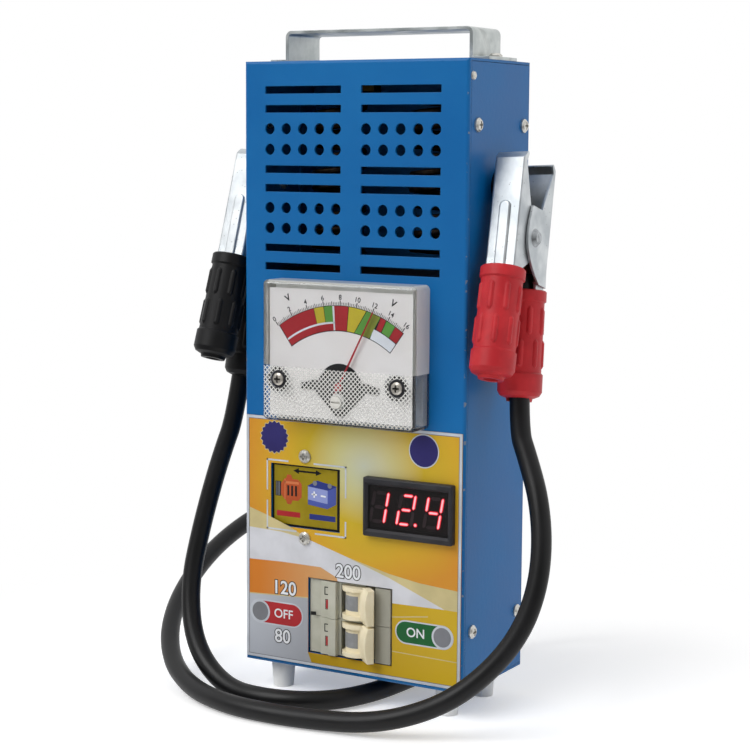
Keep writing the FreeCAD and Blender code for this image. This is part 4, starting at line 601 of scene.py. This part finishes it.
# %% Battery and generator pictures
pane_print("battery_front", 1, "battery_light",
           [(-24.8, 94.4), (-13.8, 93.2), (-13.8, 102.4), (-24.8, 103.4)])
pane_print("battery_side", 1, "battery_blue", [(-13.8, 93.2), (-9.0, 95.8), (-9.0, 104.4), (-13.8, 102.4)])
pane_print("battery_lid", 2, "battery_lid", [(-25.3, 103.2), (-13.6, 102.1), (-8.5, 104.4), (-19.6, 106.4)])
pane_print("battery_posts", 3, "grey", disc(-20.9, 105.0, 1.2, 16), disc(-12.6, 104.4, 1.2, 16))
pane_print("battery_signs", 2, "white", bar(-22.8, 99.6, -19.8, 99.4, 0.8),
           bar(-21.3, 98.0, -21.3, 101.0, 0.8), bar(-17.6, 99.2, -14.8, 99.0, 0.8))
pane_print("battery_band", 2, "battery_blue", [(-24.8, 94.4), (-13.8, 93.2), (-13.8, 95.6), (-24.8, 96.8)])
pane_print("generator_barrel", 1, "housing_orange",
           [(-40.2, 98.0), (-38.0, 95.4), (-30.4, 95.4), (-28.4, 97.4), (-28.4, 103.8), (-30.4, 105.8),
            (-38.0, 105.8), (-40.2, 103.2)],
           [(-37.4, 105.8), (-33.6, 105.8), (-34.4, 107.8), (-36.6, 107.8)],
           [(-37.4, 95.4), (-33.6, 95.4), (-34.4, 93.4), (-36.6, 93.4)])
pane_print("generator_shine", 2, "housing_light", bar(-38.4, 104.0, -30.0, 104.0, 1.2),
           bar(-37.9, 95.6, -37.9, 105.6, 0.5))
pane_print("generator_vents", 3, "pulley_dark",
           *[bar(x, 97.6, x, 102.6, 1.1) for x in (-36.0, -33.8, -31.6)])
pane_print("generator_pulley", 2, "pulley_dark",
           [(-43.4, 97.0), (-40.2, 97.0), (-40.2, 104.2), (-43.4, 104.2)])
pane_print("pulley_grooves", 3, "grey", *[bar(x, 97.2, x, 104.0, 0.35) for x in (-42.6, -41.8, -41.0)])
pane_print("change_arrow", 1, "black", bar(-30.2, 110.0, -20.2, 110.0, 0.9),
           [(-33.2, 110.0), (-30.0, 108.6), (-30.0, 111.4)],
           [(-17.2, 110.0), (-20.4, 111.4), (-20.4, 108.6)])
pane_print("generator_key", 1, "red", bar(-42.6, 88.6, -29.2, 88.6, 2.6))
pane_print("battery_key", 1, "battery_lid", bar(-24.0, 88.6, -9.4, 88.6, 2.6))
pane_print("legend_border", 2, "black", *frame_bars(-45.0, 82.7, -6.0, 113.1, 1.0),
           bar(-7.2, 83.7, -7.2, 112.1, 2.4))
print("legend pictures printed")

# %% [markdown]
# ## Digital voltmeter
# A snap-in meter: black ABS bezel, smoked acrylic pane, and three seven-segment digits behind it. Lit bars
# have a hot, nearly white core and a red rim, so a narrow bright bar lies on each CAD segment. The unlit
# bars show as faint grey ghosts on the black display block.

# %% Voltmeter finishes
# Charcoal with a satin bloom on its chamfers.
moulded_abs = mottle("moulded_black_abs", ("#2a2a2e", "#333337"), 9, (0.42, 0.55), 0.7, 0.03,
                     edge_mm=0.4)[0]
dress(moulded_abs, "voltmeter_bezel", "meter_screw_collars")
# A black ground that makes the digits stand out.
dark_resin = mottle("cast_black_resin", ("#191718", "#1f1c1d"), 8, (0.35, 0.45), 1.0, 0.01)[0]
dress(dark_resin, "voltmeter_display")
# Deep green, seen only with the case open.
solder_mask = mottle("coated_green_circuit_board", ("#1d5a2c", "#267038"), 5, (0.3, 0.4), 1.0, 0.01)[0]
dress(solder_mask, "voltmeter_board")
# The red glow at the rim of each lit bar.
lit_rim = new_finish("cast_epoxy_lit_rim", Base_Color=linear("#d01020"), Emission_Color=linear("#e8152a"),
                     Emission_Strength=2.2, Roughness=0.4)[0]
dress(lit_rim, "lit_digits")
# The overexposed pink middle of each lit bar.
lit_core = new_finish("cast_epoxy_lit_core", Base_Color=linear("#ffb0b8"), Emission_Color=linear("#ffa6ae"),
                      Emission_Strength=3.0, Roughness=0.4)[0]
# Dark grey eights behind the reading.
ghost = mottle("cast_epoxy_unlit", ("#544e53", "#5e575c"), 6, (0.3, 0.4), 1.0, 0.005)[0]
print("bezel, display and digits dressed")

# %% Smoked pane


def clear_finish(name, code, rough, ior=1.49):
    """Clear plastic that bends light but lets the lamps reach what is behind it."""
    material, tree, shader = new_finish(name, Base_Color=linear(code), Roughness=rough, IOR=ior,
                                        Transmission_Weight=1.0)
    path = add(tree, "LightPath")
    open_way = add(tree, "BsdfTransparent", {"Color": linear(code)})
    mix = add(tree, "MixShader", {0: path.outputs["Is Shadow Ray"], 1: shader.outputs["BSDF"],
                                  2: open_way.outputs["BSDF"]})
    tree.links.new(mix.outputs["Shader"], tree.nodes["Material Output"].inputs["Surface"])
    return material, tree, shader


# A slight grey veil over the display.
smoked = clear_finish("cast_smoked_acrylic", "#bdb2b4", 0.03)[0]
dress(smoked, "voltmeter_pane")
print("pane over the display")

# %% Digits
display_low, display_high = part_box("voltmeter_display")
DISPLAY_FACE = display_low.y
volt_x = (display_low.x + display_high.x) / 2 / MM
volt_z = (display_low.z + display_high.z) / 2 / MM
DIGIT = {"width": 7.5, "height": 13.6, "pitch": 14.35, "lean": math.tan(math.radians(10.2)), "shift": -1.45}
BARS = {"a": (0, 1, 1, 1), "b": (1, 1, 1, 0.5), "c": (1, 0.5, 1, 0), "d": (0, 0, 1, 0), "e": (0, 0.5, 0, 0),
        "f": (0, 1, 0, 0.5), "g": (0, 0.5, 1, 0.5)}


def segment(place, letter, width, shrink=0.0):
    """Outline of one slanted display bar; uprights reach a little past the level bars."""
    xa, za, xb, zb = BARS[letter]
    left = DIGIT["shift"] + place * DIGIT["pitch"] - DIGIT["width"] / 2
    ends = [Vector((left + x * DIGIT["width"], (z - 0.5) * DIGIT["height"]))
            for x, z in ((xa, za), (xb, zb))]
    along = (ends[1] - ends[0]).normalized()
    side = Vector((-along.y, along.x)) * width / 2
    gaps = [1.05 if letter in "adg" else 0.25 if z == 0.5 else -0.7 for z in (za, zb)]
    start, stop = ends[0] + along * (gaps[0] + shrink), ends[1] - along * (gaps[1] + shrink)
    ring = (start, start + along * width / 2 + side, stop - along * width / 2 + side, stop,
            stop - along * width / 2 - side, start + along * width / 2 - side)
    return [(volt_x + p.x + DIGIT["lean"] * p.y, volt_z + p.y) for p in ring]


printed_plate("ghost_segments", [segment(place, letter, 1.7) for place in (-1, 0, 1) for letter in BARS],
              DISPLAY_FACE - 0.05 * MM, ghost)
READING = ((-1, "bc"), (0, "abged"), (1, "fgbc"))
cores = [segment(place, letter, 0.9, 0.4) for place, letters in READING for letter in letters]
DOT_Z = 0.2 - DIGIT["height"] / 2
cores.append(disc(volt_x + DIGIT["shift"] + 6.1 + DIGIT["lean"] * DOT_Z, volt_z + DOT_Z, 0.6, 16))
printed_plate("lit_cores", cores, DISPLAY_FACE - 0.24 * MM, lit_core)
print("digits on the display at y =", round(DISPLAY_FACE, 5))

# %% [markdown]
# ## Breakers
# The two breaker modules are moulded in pale polycarbonate. Their rocker drums carry a grey band between two
# rims, and a red flag shows in a small window beside each. The band rides on the rocker so that it turns.

# %% Breaker finishes
# Greyish cream with a satin face; the right block is a little greyer.
cream, tree, shader, where = mottle("moulded_polycarbonate", ("#b6b6a6", "#c1c0b2"), 10, (0.34, 0.46), 0.9,
                                    0.02, edge_mm=0.35)
across = add(tree, "SeparateXYZ", {"Vector": where})
right_block = add(tree, "MapRange", {"Value": across.outputs["X"], "From Min": 13.9 * MM,
                                     "From Max": 14.1 * MM})
overlay(tree, shader, right_block.outputs["Result"], "#9f9d90")
dress(cream, "breaker_lower", "breaker_upper")
# A warmer ivory, so that the levers stand off the body.
lever_cream = mottle("moulded_ivory_lever", ("#ede1bf", "#f4e9cb"), 7, (0.34, 0.44), 0.9, 0.02,
                     edge_mm=0.6)[0]
dress(lever_cream, "toggle_lower", "toggle_upper")
# Flat mid grey around the drum.
grey_band = mottle("pad_printed_grey_ink", ("#86888a", "#949698"), 5, (0.3, 0.4), 0.8, 0.01)[0]
print("breakers dressed")

# %% Rocker bands and flags
PIN_X, PIN_Y, WAIST = 2.0, -27.5, 6.7
BAND_HALF, BAND_OUTER, BAND_INNER = 3.6, WAIST + 0.08, WAIST - 0.2
LEVER_ANGLE, BAND_STEPS = 48.0, 12


def rocker_band(name, body, level):
    """Grey strips around the waist of a rocker drum, on both sides of its lever."""
    work = bmesh.new()
    for first, last in ((-150, -76), (-75, -24), (24, 75), (76, 150)):
        rings = []
        for i in range(BAND_STEPS + 1):
            angle = math.radians(LEVER_ANGLE + first + (last - first) * i / BAND_STEPS)
            ring = []
            for radius, z in ((BAND_OUTER, -BAND_HALF), (BAND_OUTER, BAND_HALF), (BAND_INNER, BAND_HALF),
                              (BAND_INNER, -BAND_HALF)):
                spot = (PIN_X + radius * math.sin(angle), PIN_Y - radius * math.cos(angle), level + z)
                ring.append(work.verts.new([v * MM for v in spot]))
            rings.append(ring)
        for a, b in zip(rings, rings[1:]):
            for i in range(4):
                work.faces.new((a[i], a[(i + 1) % 4], b[(i + 1) % 4], b[i]))
        work.faces.new(rings[0])
        work.faces.new(rings[-1])
    solid_piece(name, work, grey_band, body)


NOSE_FACE = case_low.y - 0.7 * MM
FRAME_RISE = 0.02 * MM
nose_print = printer(NOSE_FACE)
for body, level in (("upper_toggle", 49.8), ("lower_toggle", 31.8)):
    rocker_band(body + "_band", body, level)
    nose_print(body + "_flag", 1, "red", [(-13.3, level - 4.4), (-11.2, level - 4.4), (-11.2, level - 0.2),
                                          (-13.3, level - 0.2)])
    printed_plate(body + "_flag_window", frame_bars(-13.7, level - 4.8, -10.8, level + 0.2, 0.3)
                  + frame_bars(-14.2, level + 2.2, -11.0, level + 6.2, 0.5),
                  proud(NOSE_FACE, 1) - FRAME_RISE, INKS["black"])
# Painted shade: a black ink bar stands for the dark gap between the two breaker modules.
nose_print("module_joint", 1, "black", bar(-21.9, 42.0, -18.9, 42.2, 1.8))
print("rockers turn about x =", PIN_X, "y =", PIN_Y)

# %% [markdown]
# ## Moving-coil meter
# A white enamelled dial sits under a clear acrylic cover. The lower third of the cover is embossed with
# small diamonds: the ridges between them scatter white and the facets stay clear, so dark parts behind show
# as a net of dark diamonds. A mask of crossed stripes below one level turns transmission down on the ridges.
# Close to the two dial screws the facets mirror the black collars, so a round mask paints that dark
# reflection onto them there.

# %% Dial and movement finishes
# A warm, nearly matt white.
enamel = mottle("white_enamelled_dial", ("#f0e9e4", "#f5efeb"), 30, (0.4, 0.5), 1.5, 0.004)[0]
dress(enamel, "meter_dial")
# A thin bright red line.
dress(ink("sprayed_red_enamel", "#b3202a"), "meter_needle")
# Clean white with soft edges.
white_nylon = mottle("moulded_white_nylon", ("#cfcdc6", "#dddbd5"), 5, (0.3, 0.42), 0.8, 0.01,
                     edge_mm=0.4)[0]
dress(white_nylon, "meter_housing", "meter_zero_adjuster", "legend_light_box")
# The dark shape that the embossed diamonds break up.
dark_iron = mottle("blackened_iron", ("#2a2725", "#3a3634"), 4, (0.35, 0.5), 0.8, 0.02, Metallic=0.6)[0]
dress(dark_iron, "meter_movement")
print("dial, needle and movement dressed")

# %% Embossed cover
# Clear in front, milky in its walls, with a white net below.
acrylic, tree, shader = clear_finish("moulded_clear_acrylic", "#f6f8fa", 0.0, ior=1.4)
where = add(tree, "TexCoord").outputs["Object"]
axis_parts = add(tree, "SeparateXYZ", {"Vector": where})
FROST_TOP, DIAMOND = 162.0, 2.3
RIDGE, FLANK = 0.30, 0.06
frost = add(tree, "MapRange", {"Value": axis_parts.outputs["Z"], "From Min": (FROST_TOP + 0.15) * MM,
                               "From Max": (FROST_TOP - 0.15) * MM})
COVER_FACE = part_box("meter_cover")[0].y
outer_face = add(tree, "MapRange", {"Value": axis_parts.outputs["Y"], "From Min": COVER_FACE + 0.5 * MM,
                                    "From Max": COVER_FACE + 0.3 * MM})
wall = add(tree, "MapRange", {"Value": axis_parts.outputs["Y"], "From Min": COVER_FACE + 1.7 * MM,
                              "From Max": COVER_FACE + 2.3 * MM})
embossed = add(tree, "Math", {0: frost.outputs["Result"], 1: outer_face.outputs["Result"]},
               operation="MULTIPLY")
facets = []
for way in ("ADD", "SUBTRACT"):
    lean = add(tree, "Math", {0: axis_parts.outputs["X"], 1: axis_parts.outputs["Z"]}, operation=way)
    wave = add(tree, "Math", {0: lean.outputs[0], 1: DIAMOND * MM / 2}, operation="PINGPONG")
    flank = add(tree, "MapRange", {"Value": wave.outputs[0], "From Min": (RIDGE / 2 - FLANK) * DIAMOND * MM,
                                   "From Max": (RIDGE / 2 + FLANK) * DIAMOND * MM})
    facets.append(flank.outputs["Result"])
facet = add(tree, "Math", {0: facets[0], 1: facets[1]}, operation="MULTIPLY")
ridge = add(tree, "Math", {0: 1.0, 1: facet.outputs[0]}, operation="SUBTRACT")
white_net = add(tree, "Math", {0: ridge.outputs[0], 1: embossed.outputs[0]}, operation="MULTIPLY")
wall_depth = add(tree, "MapRange", {"Value": frost.outputs["Result"], "To Min": 1.0, "To Max": 0.05})
wall_white = add(tree, "Math", {0: wall.outputs["Result"], 1: wall_depth.outputs["Result"]},
                 operation="MULTIPLY")
milky = add(tree, "Math", {0: white_net.outputs[0], 1: wall_white.outputs[0]}, operation="MAXIMUM")
clear_part = add(tree, "MapRange", {"Value": milky.outputs[0], "To Min": 1.0, "To Max": 0.12})
# Painted reflection: near each dial screw the facets get a dark colour and less clearness, for the black
# collar they mirror.
screw_low, screw_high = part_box("meter_dial_screws")
SCREW_X, SCREW_Z = screw_high.x - (screw_high.z - screw_low.z) / 2, (screw_low.z + screw_high.z) / 2
mirrored_x = add(tree, "Math", {0: axis_parts.outputs["X"]}, operation="ABSOLUTE")
off_x = add(tree, "Math", {0: mirrored_x.outputs[0], 1: SCREW_X}, operation="SUBTRACT")
off_z = add(tree, "Math", {0: axis_parts.outputs["Z"], 1: SCREW_Z}, operation="SUBTRACT")
off_screw = add(tree, "VectorMath", {0: add(tree, "CombineXYZ", {
    "X": off_x.outputs[0], "Y": off_z.outputs[0]}).outputs["Vector"]}, operation="LENGTH")
near_screw = add(tree, "MapRange", {"Value": off_screw.outputs["Value"], "From Min": 7.0 * MM,
                                    "From Max": 5.6 * MM})
dark_facet = add(tree, "Math", {0: facet.outputs[0], 1: near_screw.outputs["Result"]}, operation="MULTIPLY")
collar_painted_reflection = add(tree, "Math", {0: dark_facet.outputs[0], 1: embossed.outputs[0]}, operation="MULTIPLY")
see_through = add(tree, "Math", {0: clear_part.outputs["Result"], 1: collar_painted_reflection.outputs[0]},
                  operation="SUBTRACT", use_clamp=True)
tree.links.new(see_through.outputs[0], shader.inputs["Transmission Weight"])
frost_rough = add(tree, "MapRange", {"Value": embossed.outputs[0], "To Min": 0.0, "To Max": 0.12})
tree.links.new(frost_rough.outputs["Result"], shader.inputs["Roughness"])
tint = add(tree, "MixRGB", {"Fac": milky.outputs[0], "Color1": linear("#f6f8fa"),
                            "Color2": linear("#e2e1dc")})
shade = add(tree, "MixRGB", {"Fac": collar_painted_reflection.outputs[0], "Color1": tint.outputs["Color"],
                             "Color2": linear("#2c2b29")})
tree.links.new(shade.outputs["Color"], shader.inputs["Base Color"])
bump = add(tree, "Bump", {"Height": white_net.outputs[0], "Distance": 0.05 * MM, "Strength": 1.0})
tree.links.new(bump.outputs["Normal"], shader.inputs["Normal"])
dress(acrylic, "meter_cover")
print("cover embossed below z =", FROST_TOP, "mm")

# %% Dial screws
# Warm bright heads; the dark cross in each is painted shade for the cross recess.
dial_zinc, tree, shader, where = mottle("zinc_plated_cross_head", ("#c6c0b6", "#dcd7ce"), 2, (0.28, 0.4),
                                        0.5, 0.01, Metallic=0.85)
spot = add(tree, "SeparateXYZ", {"Vector": where})
spot_x = add(tree, "Math", {0: spot.outputs["X"]}, operation="ABSOLUTE")
arms = []
for value, middle in ((spot_x.outputs[0], SCREW_X), (spot.outputs["Z"], SCREW_Z)):
    away = add(tree, "Math", {0: value, 1: middle}, operation="SUBTRACT")
    arms.append(add(tree, "Math", {0: away.outputs[0]}, operation="ABSOLUTE").outputs[0])
thin = add(tree, "Math", {0: arms[0], 1: arms[1]}, operation="MINIMUM")
long = add(tree, "Math", {0: arms[0], 1: arms[1]}, operation="MAXIMUM")
in_width = add(tree, "MapRange", {"Value": thin.outputs[0], "From Min": 0.5 * MM, "From Max": 0.35 * MM})
in_length = add(tree, "MapRange", {"Value": long.outputs[0], "From Min": 1.8 * MM, "From Max": 1.6 * MM})
cross = add(tree, "Math", {0: in_width.outputs["Result"], 1: in_length.outputs["Result"]},
            operation="MULTIPLY")
# Painted shade: the dark cross in the base colour stands for the shaded recess of each head.
overlay(tree, shader, cross.outputs[0], "#34322f")
dress(dial_zinc, "meter_dial_screws")
print("dial screws at x =", round(SCREW_X, 4), "z =", round(SCREW_Z, 4))

# %% Dial print
DIAL_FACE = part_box("meter_dial")[0].y
dial_print = printer(DIAL_FACE)
ARC = (0.0, 135.0)
OUTER, INNER = 56.6, 45.3
dial_print("scale_ground", 1, "black", ring_sector(*ARC, INNER - 0.4, OUTER + 0.3, -36.2, 36.4, 60))
dial_print("scale_gap", 3, "white", ring_sector(*ARC, INNER, OUTER, -4.3, -3.3, 4),
           ring_sector(*ARC, 48.4, 49.3, -35.7, -3.4))
dial_print("scale_low_red", 2, "red", ring_sector(*ARC, INNER, OUTER, -35.7, -14.9),
           ring_sector(*ARC, INNER, 48.5, -15.2, -3.4), ring_sector(*ARC, INNER, OUTER, -3.3, 4.4))
dial_print("scale_yellow", 3, "lemon", ring_sector(*ARC, 49.3, OUTER, -14.6, -9.3),
           arc_points(*ARC, OUTER, 4.8, 14.2, 10) + arc_points(*ARC, INNER, 9.5, 4.8, 8))
dial_print("scale_green", 3, "leaf", ring_sector(*ARC, 49.3, OUTER, -9.0, -4.3),
           arc_points(*ARC, OUTER, 14.6, 22.2, 10) + arc_points(*ARC, INNER, 20.2, 9.9, 10))
dial_print("scale_olive", 4, "olive",
           arc_points(*ARC, OUTER, 17.6, 22.0, 6) + arc_points(*ARC, INNER, 19.9, 15.0, 6))
dial_print("scale_end_red", 3, "red", ring_sector(*ARC, 50.6, OUTER, 22.5, 25.5),
           ring_sector(*ARC, 50.6, OUTER, 31.2, 36.0))
dial_print("scale_end_green", 3, "leaf", ring_sector(*ARC, 50.6, OUTER, 25.9, 30.9))
dial_print("scale_end_box", 3, "white", ring_sector(*ARC, INNER, 50.2, 20.8, 36.0))
print("dial at y =", round(DIAL_FACE, 5))

# %% Dial ticks and numbers


def scale_angle(volts):
    """Where a voltage stands on the scale; the upper half is a little tighter."""
    return 4.575 * (volts - 8) * (0.965 if volts > 8 else 1.0)


ticks = []
for i in range(81):
    reach, width = (2.5, 0.5) if i % 10 == 0 else (2.1, 0.36) if i % 5 == 0 else (1.7, 0.28)
    angle = scale_angle(i / 5)
    start = arc_points(*ARC, OUTER + 0.4, angle, angle, 1)[0]
    stop = arc_points(*ARC, OUTER + reach, angle, angle, 1)[0]
    ticks.append(bar(*start, *stop, width))
dial_print("scale_ticks", 2, "black", *ticks)
# Painted shade: black ink on the dial stands for the shaded hole over the dark movement.
dial_print("movement_opening", 1, "black", arc_points(0, 152.4, 12.5, -68, 68, 24) + [(0.0, 140.5)])
for i in range(9):
    angle = scale_angle(2 * i)
    x, z = arc_points(*ARC, OUTER + 3.9, angle, angle, 1)[0]
    printed_text("scale_number_%d" % (2 * i), str(2 * i), x, z, 3.3, proud(DIAL_FACE, 2), INKS["black"],
                 lean=angle, weight=0.04)
for i, x in enumerate((-28.7, 28.2)):
    printed_text("scale_unit_%d" % i, "V", x, 194.0, 4.4, proud(DIAL_FACE, 2), INKS["black"], lean=x * 1.1,
                 weight=0.1)
print(len(ticks), "ticks on the scale")

# %% [markdown]
# ## Inside pieces
# Seen only through the vents: phenolic boards carry the coils. They still get a full finish, darkened as
# painted shade so the vents read black, because other users of the model may open the case.

# %% Inside finishes
# Dark brown phenolic, darkened further as painted shade so that the vents read as black.
phenolic = mottle("pressed_phenolic_board", ("#2c2019", "#382a20"), 5, (0.4, 0.55), 0.8, 0.02)[0]
dress(phenolic, "insulating_shelf", "insulating_ceiling")
print("nodes without a finish:",
      [name for name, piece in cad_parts.items() if not piece.data.materials])

# %% [markdown]
# ## Floor and light
# The photo was taken on white with soft light from the front left. A wide sun gives that light without
# falling off across the floor, and the world is bright behind the object and dimmer on the camera's side,
# as in a small studio. The floor fades to plain white away from the object and keeps the shadow near it.

# %% Floor
floor_mesh = bpy.data.meshes.new("studio_floor")
floor_mesh.from_pydata([(x, y, -0.0002) for x, y in ((-9, -9), (9, -9), (9, 9), (-9, 9))], [],
                       [(0, 1, 2, 3)])
floor = add_to_scene("studio_floor", floor_mesh)
SHADOW_KEPT, PLAIN_FROM = 0.10, 0.30
FLOOR_FILL, FLOOR_NEAR_CAMERA = 0.34, 0.22
# Plain white with only the contact shadow left.
white_paper, tree, shader = new_finish("white_paper_floor", Base_Color=linear("#f4f4f4"), Roughness=0.9)
where = add(tree, "TexCoord").outputs["Object"]
reach = add(tree, "VectorMath", {0: where}, operation="LENGTH")
away = add(tree, "MapRange", {"Value": reach.outputs["Value"], "From Min": SHADOW_KEPT,
                              "From Max": PLAIN_FROM}, interpolation_type="SMOOTHSTEP")
path = add(tree, "LightPath")
seen = add(tree, "Math", {0: path.outputs["Is Camera Ray"], 1: path.outputs["Is Glossy Ray"]},
           operation="MAXIMUM")
seen_clear = add(tree, "Math", {0: seen.outputs[0], 1: path.outputs["Is Transmission Ray"]},
                 operation="MAXIMUM")
plain = add(tree, "Math", {0: seen_clear.outputs[0], 1: away.outputs["Result"]}, operation="MULTIPLY")
depth = add(tree, "SeparateXYZ", {"Vector": where})
room = add(tree, "MapRange", {"Value": depth.outputs["Y"], "From Min": -0.35, "From Max": 0.2,
                              "To Min": FLOOR_NEAR_CAMERA})
level = add(tree, "Mix", {0: path.outputs["Is Glossy Ray"], 2: 1.0, 3: room.outputs["Result"]})
white = add(tree, "Emission", {"Color": (1, 1, 1, 1), "Strength": level.outputs[0]})
fill_level = add(tree, "Math", {0: seen_clear.outputs[0], 1: FLOOR_FILL}, operation="MULTIPLY")
fill = add(tree, "Emission", {"Color": (1, 1, 1, 1), "Strength": fill_level.outputs[0]})
lifted = add(tree, "AddShader", {0: shader.outputs["BSDF"], 1: fill.outputs["Emission"]})
mix = add(tree, "MixShader", {0: plain.outputs[0], 1: lifted.outputs["Shader"],
                              2: white.outputs["Emission"]})
tree.links.new(mix.outputs["Shader"], tree.nodes["Material Output"].inputs["Surface"])
floor_mesh.materials.append(white_paper)
print("floor laid")

# %% World
ROOM_LIGHT, MIRRORED_FRONT = 0.74, 0.32
world = bpy.data.worlds.new("studio_world")
bpy.context.scene.world = world
world.use_nodes = True
tree = world.node_tree
way = add(tree, "TexCoord").outputs["Generated"]
parts = add(tree, "SeparateXYZ", {"Vector": way})
behind = add(tree, "MapRange", {"Value": parts.outputs["Y"], "From Min": -0.75, "From Max": 0.1,
                                "To Min": 0.3}, interpolation_type="SMOOTHSTEP")
path = add(tree, "LightPath")
level = add(tree, "Math", {0: behind.outputs["Result"], 1: ROOM_LIGHT}, operation="MULTIPLY")
mirrored = add(tree, "MapRange", {"Value": parts.outputs["Y"], "From Min": -0.75, "From Max": 0.1,
                                  "To Min": MIRRORED_FRONT}, interpolation_type="SMOOTHSTEP")
glossy = add(tree, "Mix", {0: path.outputs["Is Glossy Ray"], 2: level.outputs[0],
                           3: mirrored.outputs["Result"]})
seen = add(tree, "Mix", {0: path.outputs["Is Camera Ray"], 2: glossy.outputs[0], 3: 1.0})
clear = add(tree, "Mix", {0: path.outputs["Is Transmission Ray"], 2: seen.outputs[0],
                          3: behind.outputs["Result"]})
tree.links.new(clear.outputs[0], tree.nodes["Background"].inputs["Strength"])
tree.nodes["Background"].inputs["Color"].default_value = (1, 1, 1, 1)
print("world lit")

# %% Sun
SUN_WAY = Vector((0.45, 0.85, -0.95))
sun_data = bpy.data.lights.new("wide_softbox", "SUN")
sun_data.energy = 1.85
sun_data.angle = math.radians(40)
sun = add_to_scene("wide_softbox", sun_data)
sun.rotation_euler = SUN_WAY.to_track_quat("-Z", "Y").to_euler()
print("sun energy", sun_data.energy)
